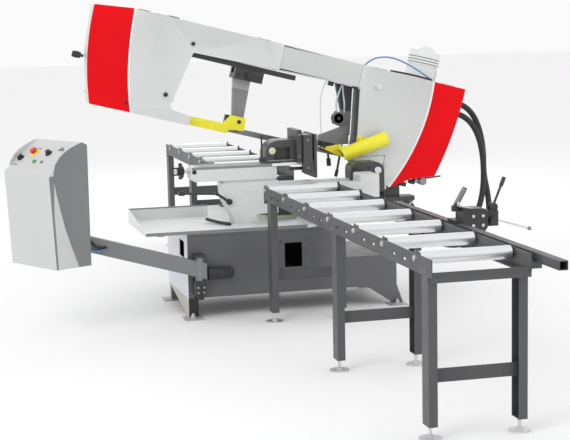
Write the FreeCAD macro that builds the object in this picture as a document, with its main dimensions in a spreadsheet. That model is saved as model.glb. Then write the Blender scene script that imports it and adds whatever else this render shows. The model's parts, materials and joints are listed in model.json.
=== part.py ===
import FreeCAD, Part
import math
import os
import Sketcher

# Horizontal band saw with a swivelling bow, roller tables and a console on a swinging arm.
# Millimetres. X runs along the blade, +Y is the infeed side, Z is up.
# The origin is the centre of the four anchor bolts, on the floor.
# Everything on the bow is drawn with the blade level and then raised about the bow hinge.

SIZES = {
    "anchor_x": 640, "anchor_y": 330, "plate_side": 110, "plate_high": 8, "anchor_hole_r": 9,
    "cabinet_left": -660, "cabinet_mid": 264, "cabinet_right": 645, "cabinet_half": 310,
    "cabinet_low": 120, "cabinet_step": 310, "cabinet_top": 505, "cabinet_wall": 5,
    "tray_left": -905, "tray_right": 170, "tray_front": -310, "tray_back": 800, "tray_high": 20,
    "tray_wall_y": 310, "tray_wall_top": 595, "swivel_top": 600.3,
    "sheet": 4, "blade_y": 90, "ring_r": 130, "ring_high": 25, "spigot_r": 60, "running": 0.05,
    "gap": 0.3, "beam_front": -200, "beam_back": -60, "beam_left": -600, "beam_right": -74,
    "beam_low": 800, "beam_top": 890, "beam_wall": 6, "screw_z": 862, "screw_r": 10,
    "rail_half": 225, "rail_wall": 5, "rail_low": 706, "rail_top": 785, "flange": 35,
    "roller_r": 30, "roller_z": 765, "roller_half": 208, "roller_wall": 4, "roller_cap": 15,
    "bolt_r": 8, "bolt_head_r": 13, "roller_first": -500, "outfeed_pitch": 428, "outfeed_count": 7,
    "outfeed_start": -462, "outfeed_end": -3260, "infeed_start": 500, "infeed_end": 2590,
    "infeed_first": 950, "infeed_pitch": 365, "infeed_count": 5,
    "leg_deep": 80, "leg_wide": 40, "leg_low": 60, "foot_r": 50, "foot_high": 8, "stem_r": 7.5,
    "stop_x": 272, "stop_z": 765, "stop_side": 40, "stop_far": -3470, "stop_near": -1400,
    "carriage_y": -2260, "pivot_x": 790, "pivot_z": 760, "raise_angle": 14.4, "pin_r": 20,
    "lug_r": 50, "lug_thick": 20, "lug_front": 180, "lug_back": 320,
    "hinge_y": -9, "barrel_r": 4, "hinge_pin_r": 2, "left_edge": 1386.3, "right_edge": 1376,
    "door_front": -10, "door_back": -5, "cover_front": -4, "cover_back": 136, "cover_wall": 6,
    "wheel_r": 240, "wheel_wide": 34, "idler_x": -1000, "drive_x": 770, "wheel_z": 1045,
    "band_thick": 1.1, "band_wide": 34, "axle_r": 25, "hose_r": 19, "gland_r": 27,
    "motor_x": 850, "motor_y": 240, "stop_rod_r": 5,
    "console_yaw": 29.05, "console_wide": 430, "console_low": 400, "console_wall": 3,
    "arm_x": -600, "arm_y": -360, "arm_end": -1335, "arm_wide": 50, "arm_deep": 94,
    "stem_small_r": 8, "panel_gap": 5,
}


class Size:
    """A number that remembers the spreadsheet expression it comes from."""

    def __init__(self, value, text):
        self.value = float(value)
        self.text = text

    def __add__(self, other):
        return Size(self.value + number(other), f"({self.text} + {text_of(other)})")

    def __sub__(self, other):
        return Size(self.value - number(other), f"({self.text} - {text_of(other)})")

    def __mul__(self, other):
        return Size(self.value * number(other), f"({self.text} * {text_of(other)})")

    def __radd__(self, other):
        return Size(number(other) + self.value, f"({text_of(other)} + {self.text})")

    def __rsub__(self, other):
        return Size(number(other) - self.value, f"({text_of(other)} - {self.text})")

    def __rmul__(self, other):
        return self * other

    def __neg__(self):
        return Size(-self.value, f"(0 - {self.text})")


def number(thing):
    return thing.value if isinstance(thing, Size) else float(thing)


def text_of(thing):
    return thing.text if isinstance(thing, Size) else f"({float(thing):.6f})"


class Named:
    """The sheet's sizes as attributes, so s.rail_top is a Size."""


doc = FreeCAD.newDocument("BandSaw")
sheet = doc.addObject("Spreadsheet::Sheet", "Sizes")
s = Named()
for row, (alias, value) in enumerate(SIZES.items(), start=1):
    sheet.set(f"A{row}", alias)
    sheet.set(f"B{row}", str(value))
    sheet.setAlias(f"B{row}", alias)
    setattr(s, alias, Size(value, f"Sizes.{alias}"))
doc.recompute()

nodes = {}
X = FreeCAD.Vector(1, 0, 0)
Y = FreeCAD.Vector(0, 1, 0)
Z = FreeCAD.Vector(0, 0, 1)
HINGE = FreeCAD.Vector(s.pivot_x.value, 0, s.pivot_z.value)
RAISED = FreeCAD.Placement(
    FreeCAD.Vector(), FreeCAD.Rotation(Y, s.raise_angle.value), HINGE
)


def bind(item, name, size):
    if isinstance(size, Size):
        item.setExpression(name, size.text)


def put(item, place, rotation=None):
    """Stand an item at a place, three sizes, after turning it."""
    base = FreeCAD.Vector(*[number(p) for p in place])
    item.Placement = FreeCAD.Placement(base, rotation or FreeCAD.Rotation())
    for axis, size in zip("xyz", place):
        bind(item, f"Placement.Base.{axis}", size)
    return item


def box(low, high):
    """A block from its low corner to its high corner."""
    item = doc.addObject("Part::Box", "Block")
    for name, a, b in zip(("Length", "Width", "Height"), low, high):
        setattr(item, name, number(b) - number(a))
        bind(item, name, b - a if isinstance(b, Size) or isinstance(a, Size) else b)
    return put(item, low)


def rod(start, along, length, radius):
    """A round bar from start, along a direction."""
    item = doc.addObject("Part::Cylinder", "Rod")
    item.Radius = number(radius)
    item.Height = number(length)
    bind(item, "Radius", radius)
    bind(item, "Height", length)
    return put(item, start, FreeCAD.Rotation(Z, FreeCAD.Vector(*along)))


def bar(start, end, radius):
    """A round bar from one point to another."""
    span = FreeCAD.Vector(*[number(b) - number(a) for a, b in zip(start, end)])
    return rod(start, tuple(span), span.Length, radius)


def ball(centre, radius):
    item = doc.addObject("Part::Sphere", "Ball")
    item.Radius = number(radius)
    bind(item, "Radius", radius)
    return put(item, centre)


def ring(start, along, length, outer, inner):
    return cut(rod(start, along, length, outer), rod(start, along, length, inner))


def fuse(*items):
    if len(items) == 1:
        return items[0]
    item = doc.addObject("Part::MultiFuse", "Joined")
    item.Shapes = list(items)
    item.Refine = True
    return item


def cut(base, *tools):
    item = doc.addObject("Part::Cut", "Cut")
    item.Base = base
    item.Tool = fuse(*tools)
    item.Refine = True
    return item


def corner_edges(points):
    """Line and arc geometry of an outline; a third number rounds its corner."""
    plain = [FreeCAD.Vector(number(p[0]), number(p[1]), 0) for p in points]
    count = len(plain)
    ends = []
    arcs = []
    for i, here in enumerate(plain):
        radius = number(points[i][2]) if len(points[i]) > 2 else 0
        back = (plain[i - 1] - here).normalize()
        ahead = (plain[(i + 1) % count] - here).normalize()
        half = back.getAngle(ahead) / 2
        if radius <= 0:
            ends.append((here, here))
            arcs.append(None)
            continue
        reach = radius / math.tan(half)
        first = here + back * reach
        last = here + ahead * reach
        middle = here + (back + ahead).normalize() * (radius / math.sin(half) - radius)
        ends.append((first, last))
        arcs.append(Part.Arc(first, middle, last))
    edges = []
    for i in range(count):
        if arcs[i]:
            edges.append(arcs[i])
        start = ends[i][1]
        stop = ends[(i + 1) % count][0]
        if (stop - start).Length > 1e-6:
            edges.append(Part.LineSegment(start, stop))
    return edges


def prism(plane, points, low, high):
    """A padded outline: XY from z low to high, YZ from x low to high, XZ from y low to high."""
    body = doc.addObject("PartDesign::Body", "Profile")
    sketch = body.newObject("Sketcher::SketchObject", "Outline")
    role = plane + "_Plane"
    sketch.AttachmentSupport = [next(f for f in body.Origin.OriginFeatures if f.Role == role)]
    sketch.MapMode = "FlatFace"
    level = -high if plane == "XZ" else low
    sketch.AttachmentOffset = FreeCAD.Placement(
        FreeCAD.Vector(0, 0, number(level)), FreeCAD.Rotation()
    )
    bind(sketch, "AttachmentOffset.Base.z", level)
    sketch.addGeometry(corner_edges(points), False)
    pad = body.newObject("PartDesign::Pad", "Pad")
    pad.Profile = sketch
    pad.Length = number(high) - number(low)
    if isinstance(high, Size) or isinstance(low, Size):
        bind(pad, "Length", high - low)
    body.Tip = pad
    return body


def inset(points, depth):
    """The outline drawn inside another at one depth, corner radii reduced to match."""
    flat = [(number(p[0]), number(p[1]), number(p[2]) if len(p) > 2 else 0) for p in points]
    count = len(flat)
    area = sum(
        flat[i][0] * flat[(i + 1) % count][1] - flat[(i + 1) % count][0] * flat[i][1]
        for i in range(count)
    )
    side = 1 if area > 0 else -1
    lines = []
    for i in range(count):
        ax, az, _ = flat[i]
        bx, bz, _ = flat[(i + 1) % count]
        span = math.hypot(bx - ax, bz - az)
        nx = -(bz - az) / span * side
        nz = (bx - ax) / span * side
        lines.append((nx, nz, nx * ax + nz * az + depth))
    inner = []
    for i in range(count):
        a1, b1, c1 = lines[i - 1]
        a2, b2, c2 = lines[i]
        under = a1 * b2 - a2 * b1
        x = (c1 * b2 - c2 * b1) / under
        z = (a1 * c2 - a2 * c1) / under
        radius = max(flat[i][2] - depth, 0)
        inner.append((x, z, radius))
    return inner


def shaped(shape):
    """A piece whose shape is set directly, for bands and tubes."""
    item = doc.addObject("Part::Feature", "Shaped")
    item.Shape = shape
    return item


def node(label, *items, placement=None):
    """Name a finished piece. Several items stay separate solids of one piece."""
    item = doc.addObject("Part::Compound", "Piece")
    item.Links = list(items)
    item.Label = label
    if placement:
        item.Placement = placement
    nodes[label] = item
    return item


def on_bow(label, *items):
    return node(label, *items, placement=RAISED)


def base():
    """The cabinet, its legs with anchor plates, and the coolant pump inside."""
    outline = [
        (s.cabinet_left, s.cabinet_low), (s.cabinet_right, s.cabinet_low),
        (s.cabinet_right, s.cabinet_step, 20), (s.cabinet_mid, s.cabinet_step),
        (s.cabinet_mid, s.cabinet_top, 60), (s.cabinet_left, s.cabinet_top),
    ]
    wall = s.cabinet_wall
    half = s.cabinet_half
    shell = cut(
        prism("XZ", outline, -half, half),
        prism("XZ", inset(outline, wall.value), wall - half, half - wall),
        box((-64, -half - 10, 272), (44, 20 - half, 420)),
        box((s.cabinet_left - 10, -210, 350), (s.cabinet_left + 10, -72, 450)),
    )
    y = s.arm_y
    brackets = []
    for low, high in ((215, 234.7), (375.3, 390)):
        plate = box((s.arm_x - 32, y - 32, low), (s.arm_x + 32, -half, high))
        brackets.append(plate)
    pin = rod((s.arm_x, y, 215), (0, 0, 1), 175, 12)
    stop_block = rod((-545, -352, 270), (1, 0, 0), 135, 35)
    stop_plate = box((-500, -345, 245), (-430, -half, 295))
    node("base_cabinet", fuse(shell, *brackets, pin, stop_block, stop_plate))
    legs = []
    for side in (-1, 1):
        for end in (-1, 1):
            cx = s.anchor_x * side
            cy = s.anchor_y * end
            reach = s.plate_side * 0.5
            plate = cut(
                box((cx - reach, cy - reach, 0), (cx + reach, cy + reach, s.plate_high)),
                rod((cx, cy, -1), (0, 0, 1), 20, s.anchor_hole_r),
            )
            inner = half - 40
            ys = (-half, -inner) if end < 0 else (inner, half)
            if side < 0:
                post = box((-655, ys[0], s.plate_high), (-600, ys[1], s.cabinet_low))
                if end < 0:
                    web = [(ys[0], 8), (-250, 8), (300, s.cabinet_low), (ys[0], s.cabinet_low)]
                    post = fuse(post, prism("YZ", web, s.cabinet_left, -654))
            else:
                flare = [(453, s.cabinet_low), (620, 8), (685, 8), (s.cabinet_right, s.cabinet_low)]
                post = prism("XZ", flare, ys[0], ys[1])
            legs.append(fuse(plate, post))
    node("base_legs", *legs)
    drum = rod((0, -120, 125), (0, 0, 1), 150, 45)
    foot = rod((0, -120, 125), (0, 0, 1), 10, 60)
    outlet = rod((0, -120, 240), (1, 0, 0), 90, 10)
    node("coolant_pump", fuse(drum, foot, outlet))


def tray():
    """A folded sheet tray with a raised wall at its back left, two ribs and a drain."""
    low = s.cabinet_top
    top = low + s.tray_high
    back = s.tray_wall_y
    outline = [
        (s.tray_left, s.tray_front), (s.tray_right, s.tray_front, 90),
        (s.tray_right, s.tray_back, 90), (s.cabinet_left, s.tray_back),
        (s.cabinet_left, back), (s.tray_left, back),
    ]
    skin = cut(
        prism("XY", outline, low, top),
        prism("XY", inset(outline, s.sheet.value), low - 5, top - s.sheet),
    )
    high = s.tray_wall_top
    wall = box((s.tray_left, back - s.sheet, low + 1), (-400, back, high))
    end = [(s.tray_front, top - 1), (back, top - 1), (back, high), (s.tray_front, top)]
    side = prism("YZ", end, s.tray_left, s.tray_left + s.sheet)
    ribs = [box((x, -300, low), (x + 8, 300, top - 1)) for x in (-640, -200)]
    drain = rod((-785, -130, low - 30), (0, 0, 1), 49, 25)
    node("chip_tray", fuse(skin, wall, side, *ribs, drain))


def bed():
    """The cast column, the cross frame that carries the jaws, and the vise."""
    front = s.beam_front
    back = s.beam_back
    ground = s.cabinet_top + s.tray_high
    cast = [
        (-340, ground), (-240, ground), (-240, 590), (-70, 590), (-63, 785), (-415, 785),
        (-405, 680), (-345, 570),
    ]
    column = fuse(
        prism("XZ", cast, front, back),
        box((-360, -215, ground), (-220, -45, ground + 12)),
        box((-400, -190, 780), (-78, -70, s.beam_low)),
    )
    node("bed_column", column)
    rail = box((-63, front, 700), (620, -120, 775))
    pedestal = box((100, front, ground), (250, back, 701))
    foot = box((80, -215, ground), (270, -45, ground + 12))
    cross = box((100, -460, 700), (250, -199, 740))
    front_beam = box((-170, -460, 740), (374, -380, 785))
    front_low = box((100, -460, 735), (250, -380, 745))
    end_block = prism("XZ", [(373, 690), (490, 690), (490, 828, 12), (373, 828, 12)], -460, -310)
    link = box((290, -381, 700), (360, -199, 745))
    node("bed_frame", fuse(rail, pedestal, foot, cross, front_beam, front_low, end_block, link))
    outline = [
        (s.beam_left, s.beam_low, 30), (s.beam_right, s.beam_low),
        (s.beam_right, s.beam_top), (s.beam_left, s.beam_top, 30),
    ]
    wall = s.beam_wall
    beam = cut(
        prism("XZ", outline, front, back),
        box((-566, front + wall, s.beam_low + wall), (s.beam_right + 9, back - wall, 884)),
        box((-540, -146, 870), (s.beam_right + 9, -114, 900)),
        rod((-620, -130, s.screw_z), (1, 0, 0), 100, s.screw_r + s.running),
    )
    node("vise_beam", beam)
    arch = [(385, 775), (600, 775), (600, 875, 60), (385, 875, 45)]
    face = [(385, 690), (600, 690, 15), (600, 875, 60), (385, 875, 45)]
    disc = rod((557, -236, 823), (0, 1, 0), 8, 25)
    node("fixed_jaw", fuse(prism("XZ", arch, -201, -110), prism("XZ", face, -230, -200), disc))
    housing = [(-143, 893), (60, 893), (60, 1030, 25), (-143, 1030, 85)]
    bottom = s.beam_top + 3
    jaw = fuse(
        cut(
            prism("XZ", housing, front, back),
            box((-90, front - 5, bottom + 20), (10, front + 40, 985)),
        ),
        box((44, -240, bottom), (75, -20, 1090)),
        box((74, -200, bottom), (81, -60, 1020)),
        box((80, -260, bottom), (135, -20, 1060)),
        box((80, -260, 830), (135, -204, bottom)),
        box((134, -220, 900), (148, -60, 1010)),
        box((147, -260, 800), (163, -20, 1063)),
        box((-142, -143, 876), (-110, -117, bottom + 5)),
        box((-312, -143, 876), (-110, -117, s.beam_top)),
        cut(
            box((-340, -143, 846), (-310, -117, s.beam_top)),
            rod((-350, -130, s.screw_z), (1, 0, 0), 60, s.screw_r + s.running),
        ),
    )
    node("moving_jaw", jaw)
    journal = rod((-690, -130, s.screw_z), (1, 0, 0), 630, s.screw_r)
    node("vise_screw", fuse(journal, rod((-612, -130, s.screw_z), (1, 0, 0), 11.7, 18)))
    hub = rod((-672, -130, s.screw_z), (1, 0, 0), 40, 22)
    plate = rod((-660, -130, s.screw_z), (1, 0, 0), 18, 34)
    lobes = []
    for k in range(5):
        turn = 2 * math.pi * k / 5
        y = -130 + 38 * math.cos(turn)
        z = s.screw_z + 38 * math.sin(turn)
        lobes.append(rod((-660, y, z), (1, 0, 0), 18, 13))
    pegs = [rod((-712, -130, s.screw_z + dz), (1, 0, 0), 55, 5) for dz in (-20, 20)]
    solid = fuse(hub, plate, *lobes, *pegs)
    node("vise_handwheel", cut(solid, rod((-690, -130, s.screw_z), (1, 0, 0), 70, s.screw_r)))


def roller_places():
    outfeed = [s.roller_first - s.outfeed_pitch * i for i in range(SIZES["outfeed_count"])]
    infeed = [s.infeed_first + s.infeed_pitch * i for i in range(SIZES["infeed_count"])]
    return outfeed, infeed


def table_rails(start, end, places, extras):
    """Two angle rails with a web, a bottom flange and a tab over each roller end."""
    parts = []
    cuts = []
    half = s.rail_half
    for side in (-1, 1):
        xs = (-half, s.rail_wall - half) if side < 0 else (half - s.rail_wall, half)
        fs = (-half, s.flange - half) if side < 0 else (half - s.flange, half)
        parts.append(box((xs[0], start, s.rail_low), (xs[1], end, s.rail_top)))
        parts.append(box((fs[0], start, s.rail_low), (fs[1], end, s.rail_low + s.rail_wall)))
        for y in places:
            parts.append(box((xs[0], y - 13, s.rail_top - 5), (xs[1], y + 13, s.rail_top + 13)))
    for y in places:
        cuts.append(rod((-half - 5, y, s.roller_z), (1, 0, 0), 460, s.bolt_r + s.running))
    for y in extras:
        cuts.append(box((-half - 5, y - 20, 735), (10 - half, y + 20, 747)))
    for y in (start + 2, end - 7):
        parts.append(box((-half, y, s.rail_low - 20), (half, y + 5, s.rail_low + 25)))
    return fuse(*parts), cuts


def tables():
    """Rails, rollers, roller bolts, leg frames and levelling feet of both tables."""
    outfeed, infeed = roller_places()
    ground = s.cabinet_top + s.tray_high
    slots = [y - s.outfeed_pitch * 0.5 + d for y in outfeed[:-1] for d in (-70, 70)]
    solid, cuts = table_rails(s.outfeed_end, s.outfeed_start, outfeed, slots)
    node("outfeed_rails", cut(solid, *cuts))
    solid, cuts = table_rails(s.infeed_start, s.infeed_end, infeed, [])
    posts = []
    for x in (-205, 185):
        posts.append(box((x, 700, ground), (x + 20, 740, s.rail_low + 1)))
        posts.append(box((x - 20, 690, ground), (x + 40, 750, ground + 8)))
    brace = box((-190, 715, 600), (190, 725, 630))
    node("infeed_rails", cut(fuse(solid, *posts, brace), *cuts))
    bolts = []
    names = [("outfeed", outfeed), ("infeed", infeed)]
    for name, places in names:
        for i, y in enumerate(places, start=1):
            drum = cut(
                rod((-s.roller_half, y, s.roller_z), (1, 0, 0), s.roller_half * 2, s.roller_r),
                rod((s.roller_cap - s.roller_half, y, s.roller_z), (1, 0, 0),
                    (s.roller_half - s.roller_cap) * 2, s.roller_r - s.roller_wall),
                rod((-s.roller_half - 1, y, s.roller_z), (1, 0, 0), s.roller_half * 2 + 2,
                    s.bolt_r + s.running),
            )
            node(f"{name}_roller_{i}", drum)
            for side in (-1, 1):
                head = rod((s.rail_half * side, y, s.roller_z), (side, 0, 0), 8, s.bolt_head_r)
                shank = rod(((s.roller_half - 14) * side, y, s.roller_z), (side, 0, 0), 32, s.bolt_r)
                bolts.append(fuse(head, shank))
    node("roller_bolts", *bolts)
    frames = []
    feet = []
    wall = s.sheet
    stands = ((-580, 245), (-1870, 245), (-3180, 245), (1690, 390), (2540, 390))
    for y, bar_z in stands:
        parts = []
        near = y - s.leg_deep * 0.5
        far = y + s.leg_deep * 0.5
        for side in (-1, 1):
            left = s.rail_half * side - (s.leg_wide if side > 0 else 0)
            right = left + s.leg_wide
            web = right - wall if side > 0 else left
            parts.append(box((web, near, s.leg_low), (web + wall, far, s.rail_low)))
            parts.append(box((left, near, s.leg_low), (right, near + wall, s.rail_low)))
            parts.append(box((left, far - wall, s.leg_low), (right, far, s.rail_low)))
            for z in (s.leg_low, s.rail_low - wall):
                parts.append(box((left, near, z), (right, far, z + wall)))
            foot_x = s.rail_half * side - 20 * side
            pad = rod((foot_x, y, 0), (0, 0, 1), s.foot_high, s.foot_r)
            cone = rod((foot_x, y, 0), (0, 0, 1), s.foot_high + 10, 16)
            stem = rod((foot_x, y, 0), (0, 0, 1), s.leg_low, s.stem_r)
            nut = rod((foot_x, y, s.leg_low - 12), (0, 0, 1), 12, 13)
            feet.append(fuse(pad, cone, stem, nut))
        inner = s.rail_half - s.leg_wide + 1
        parts.append(box((-inner, y - 3, bar_z), (inner, y + 3, bar_z + 60)))
        for x in (-s.rail_half + wall, s.rail_half - s.leg_wide):
            parts.append(box((x, y - 3, bar_z), (x + s.leg_wide - wall, y + 3, bar_z + 60)))
        frames.append(fuse(*parts))
    node("table_leg_frames", *frames)
    node("levelling_feet", *feet)


def length_stop():
    """The square stop rail, and the carriage that slides on it with its lever and rod."""
    half = s.stop_side * 0.5
    low = (s.stop_x - half, s.stop_far, s.stop_z - half)
    high = (s.stop_x + half, s.stop_near, s.stop_z + half)
    tube = cut(
        box(low, high),
        box((s.stop_x - 17, s.stop_far - 5, s.stop_z - 17), (s.stop_x + 17, s.stop_near + 5,
                                                            s.stop_z + 17)),
    )
    brackets = [
        box((s.rail_half, y - 15, 712), (s.stop_x + half, y + 15, s.stop_z - half))
        for y in (-1470, -2420, -3200)
    ]
    brackets += [
        box((s.rail_half, y - 15, 712), (s.stop_x - half, y + 15, 760)) for y in (-1470, -2420, -3200)
    ]
    node("stop_rail", fuse(tube, *brackets))
    y = s.carriage_y
    side = s.stop_x + half + s.gap
    tall = [(s.stop_x + 20.3, 745), (420, 745, 20), (420, 850, 25), (s.stop_x + 20.3, 855)]
    body = fuse(
        prism("XZ", tall, y - 50, y + 50),
        box((side - 42, y - 50, 785.3), (side + 1, y + 50, 800)),
        box((415, y - 30, 760), (483, y + 30, 835)),
        rod((466, y - 18, 850), (0, 1, 0), 36, 20),
        box((448, y - 18, 820), (483, y + 18, 850)),
        box((255, y - 12, 838), (300, y + 12, 866)),
        bar((268, y, 856), (323, y, 950), 12),
    )
    slope = (0.9568, 0, -0.2907)
    start = (430, y, 802)
    behind = 30
    bore = rod((start[0] - behind * slope[0], y, start[2] - behind * slope[2]), slope, 115,
               s.stop_rod_r + s.running)
    eye = rod((466, y - 8, 860), (0, 1, 0), 16, 40)
    pin = rod((466, y - 18, 850), (0, 1, 0), 36, 6 - s.running)
    node("stop_carriage", fuse(cut(body, bore, eye), pin))
    hub = ring((466, y - 7, 850), (0, 1, 0), 14, 16, 6)
    lever = bar((471, y, 862), (520, y, 978), 6)
    grip = bar((508, y, 948), (526, y, 992), 10)
    node("stop_lever", fuse(hub, lever, grip))
    reach = 232
    tip = (start[0] + reach * slope[0], y, start[2] + reach * slope[2])
    node("stop_rod", fuse(rod(start, slope, reach, s.stop_rod_r), rod(tip, slope, 16, 9)))


def swivel():
    """The bearing ring, the carriage with its hinge lugs and pin, the lever and the feed cylinder."""
    top = s.cabinet_top + s.tray_high
    node("swivel_ring", ring((0, s.blade_y, top), (0, 0, 1), s.ring_high, s.ring_r,
                             s.spigot_r))
    low = top + s.ring_high + s.gap
    upper = s.swivel_top
    hub = rod((0, s.blade_y, low), (0, 0, 1), 50, s.ring_r - 10)
    spigot = rod((0, s.blade_y, top + 2), (0, 0, 1), 40, s.spigot_r - s.running)
    beam = box((0, 160, low), (860, 340, upper))
    gland_block = box((858, 170, upper - 30), (940, 280, upper))
    parts = [hub, spigot, beam, gland_block]
    thick = s.lug_thick
    for y in (s.lug_front, s.lug_back):
        parts.append(box((s.pivot_x - 50, y, upper - 10), (s.pivot_x + 50, y + thick, s.pivot_z)))
        parts.append(rod((s.pivot_x, y, s.pivot_z), (0, 1, 0), thick, s.lug_r))
    parts.append(rod((s.pivot_x, s.lug_front, s.pivot_z), (0, 1, 0), 160, s.pin_r))
    for y in (199, 253):
        ear = box((530, y, upper - 10), (590, y + 18, 650))
        parts.append(ear)
        parts.append(rod((560, y, 650), (0, 1, 0), 18, 30))
    parts.append(rod((560, 199, 650), (0, 1, 0), 72, 10))
    parts.append(box((-110, 160, low), (10, 210, upper - 10)))
    for route in (upper_route, lower_route):
        end = FreeCAD.Vector(*route[-1])
        along = end - FreeCAD.Vector(*route[-2])
        parts.append(rod(tuple(end), tuple(along), 38, s.gland_r))
    node("swivel_carriage", fuse(*parts))
    y = -214
    end = (-671, y, 738)
    elbow = (-452, y, 726)
    hub_place = (-376, y, 674)
    hub = rod((-376, y - 9, 674), (0, 1, 0), -s.gap + 23, 18)
    knuckle = rod((-452, y - 11, 726), (0, 1, 0), 22, 11)
    grip = bar((-686, y, 738.8), (-650, y, 736.9), 13)
    node("mitre_lever", fuse(grip, bar(end, elbow, 7), knuckle, bar(elbow, hub_place, 8), hub))


def feed():
    """The hydraulic cylinder between the carriage and the bow; its rod end has a loose eye."""
    foot = FreeCAD.Vector(560, 235, 650)
    level_pin = FreeCAD.Vector(560, 235, 1000)
    head = RAISED.multVec(level_pin)
    along = (head - foot).normalize()
    start = foot + along * 30
    eye = fuse(rod((560, 220, 650), (0, 1, 0), 30, 26), bar(tuple(foot), tuple(start), 18))
    solid = fuse(eye, rod(tuple(start), tuple(along), 240, 30))
    bore_start = start + along * 20
    bores = [
        rod((560, 215, 650), (0, 1, 0), 40, 10 + 0.05),
        rod(tuple(bore_start), tuple(along), 300, 14 + 0.05),
    ]
    node("feed_cylinder", cut(solid, *bores))
    length = (head - foot).Length - 30
    rod_start = foot + along * 115
    stick = rod(tuple(rod_start), tuple(along), length - 115, 14)
    loop = ring((head.x, 228, head.z), (0, 1, 0), 14, 36, 24)
    node("feed_rod", fuse(cut(stick, rod((head.x, 200, head.z), (0, 1, 0), 70, 26)), loop))


# Outline of the bow's cover with the blade level: along the top from the left end, then round.
cover = [
    (-1331, 1359, 15), (-1092, 1388), (-141, 1386), (384, 1376), (1078, 1376, 12),
    (1075, 1223), (1030, 942), (1005, 795, 20), (853, 746), (729, 667, 15), (460, 770, 15),
    (444, 948), (393, 1236, 10), (-686, 1211, 10), (-759, 849, 30), (-616, 834, 8), (-616, 777, 8),
    (-1237, 776, 25), (-1311, 1068),
]
left_part = [
    (-1331, 1359, 15), (-1092, 1388), (-141, 1386), (-141, 1224), (-686, 1211, 10),
    (-759, 849, 30), (-616, 834, 8), (-616, 777, 8), (-1237, 776, 25), (-1311, 1068),
]
# The right door stops above a fixed corner, so that it swings clear of the fixed jaw.
right_part = [
    (384, 1376), (1078, 1376, 12), (1075, 1223), (1030, 942), (1005, 795, 20), (853, 746),
    (729, 667, 15), (653, 696), (653, 859), (456.6, 809), (444, 948), (393, 1236), (384, 1236),
]
fixed_corner = [(456.9, 806), (650, 856), (650, 697.3), (460, 770, 15)]


def door_hinges(places, edge):
    """Hinges along a top edge: barrels, ears, and what the door leaves free for them."""
    axis = edge + 2.5
    long = 50
    wide = 16
    barrels = []
    ears = []
    spaces = []
    for x in places:
        barrels.append(rod((x, s.hinge_y, axis), (1, 0, 0), long, s.barrel_r))
        for left in (x - wide - s.gap, x + long + s.gap):
            ears.append(rod((left, s.hinge_y, axis), (1, 0, 0), wide, s.barrel_r))
            ears.append(box((left, s.hinge_y, axis), (left + wide, 4, axis + s.barrel_r)))
            ears.append(box((left, -3, edge - 4), (left + wide, 4, axis + 1)))
            spaces.append(rod((left - s.gap, s.hinge_y, axis), (1, 0, 0), wide + s.gap * 2,
                              s.barrel_r + s.gap))
        start = (x - wide, s.hinge_y, axis)
        ears.append(rod(start, (1, 0, 0), long + wide * 2, s.hinge_pin_r))
        spaces.append(rod(start, (1, 0, 0), long + wide * 2, s.hinge_pin_r + s.running))
    return barrels, ears, spaces


def bow():
    """The hollow bow: a back plate with a rim, a closed middle beam, ears for the hinge."""
    front = s.cover_front
    back = s.cover_back
    wall = s.cover_wall
    shell = cut(
        prism("XZ", cover, front, back),
        prism("XZ", inset(cover, wall.value), front - 5, back - wall),
    )
    middle = box((-141, front, 1238), (384, front + 6, 1374))
    under = box((-690, 20, 1185), (-20, 110, 1216))
    ends = [
        cut(box((x, front, 1222), (x + 6, back - 3, 1380)), box((x - 9, 50, 1265), (x + 15, 125, 1300)))
        for x in (-147, 384)
    ]
    y0 = s.lug_front + s.lug_thick + 3
    y1 = s.lug_back - 3
    bridge = box((740, back - 1, 830), (840, y1, 900))
    ear = fuse(box((745, y0, s.pivot_z), (835, y1, 840)),
               rod((s.pivot_x, y0, s.pivot_z), (0, 1, 0), 114, 45))
    feed_pin = rod((560, back - 1, 1000), (0, 1, 0), 125, 12)
    manifold = box((1002, back - 1, 1180), (GLAND_FACE - 12, 290, 1330))
    glands = [
        rod((GLAND_FACE - 14, y, z), (1, 0, 0), 14, s.gland_r)
        for y, z in ((250, UPPER_GLAND_Z), (200, LOWER_GLAND_Z))
    ]
    left_barrels, left_ears, left_spaces = door_hinges((-940, -300), s.left_edge)
    right_barrels, right_ears, right_spaces = door_hinges((470, 930), s.right_edge)
    corner = prism("XZ", fixed_corner, s.door_front, front + 1)
    solid = fuse(shell, middle, under, *ends, bridge, ear, feed_pin, manifold, *glands, corner,
                 *left_ears, *right_ears)
    pin_bore = rod((s.pivot_x, 190, s.pivot_z), (0, 1, 0), 140, s.pin_r + s.running)
    slot = box((-1050, 120, 1015), (-950, 145, 1075))
    drive_hole = rod((s.drive_x, 120, s.wheel_z), (0, 1, 0), 30, s.axle_r + 5)
    handle_hole = rod((-1345, 96, 1045), (1, 0, 0), 60, 12)
    blade_ways = [
        box((-630, 70, 770), (-600, 110, 830)),
        box((430, 60, 780), (480, 120, 845)),
    ]
    on_bow("bow_frame", cut(solid, pin_bore, slot, drive_hole, handle_hole, *blade_ways))
    left = prism("XZ", left_part, s.door_front, s.door_back)
    right = prism("XZ", right_part, s.door_front, s.door_back)
    on_bow("left_door", cut(fuse(left, *left_barrels), *left_spaces))
    on_bow("right_door", cut(fuse(right, *right_barrels), *right_spaces))


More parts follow.
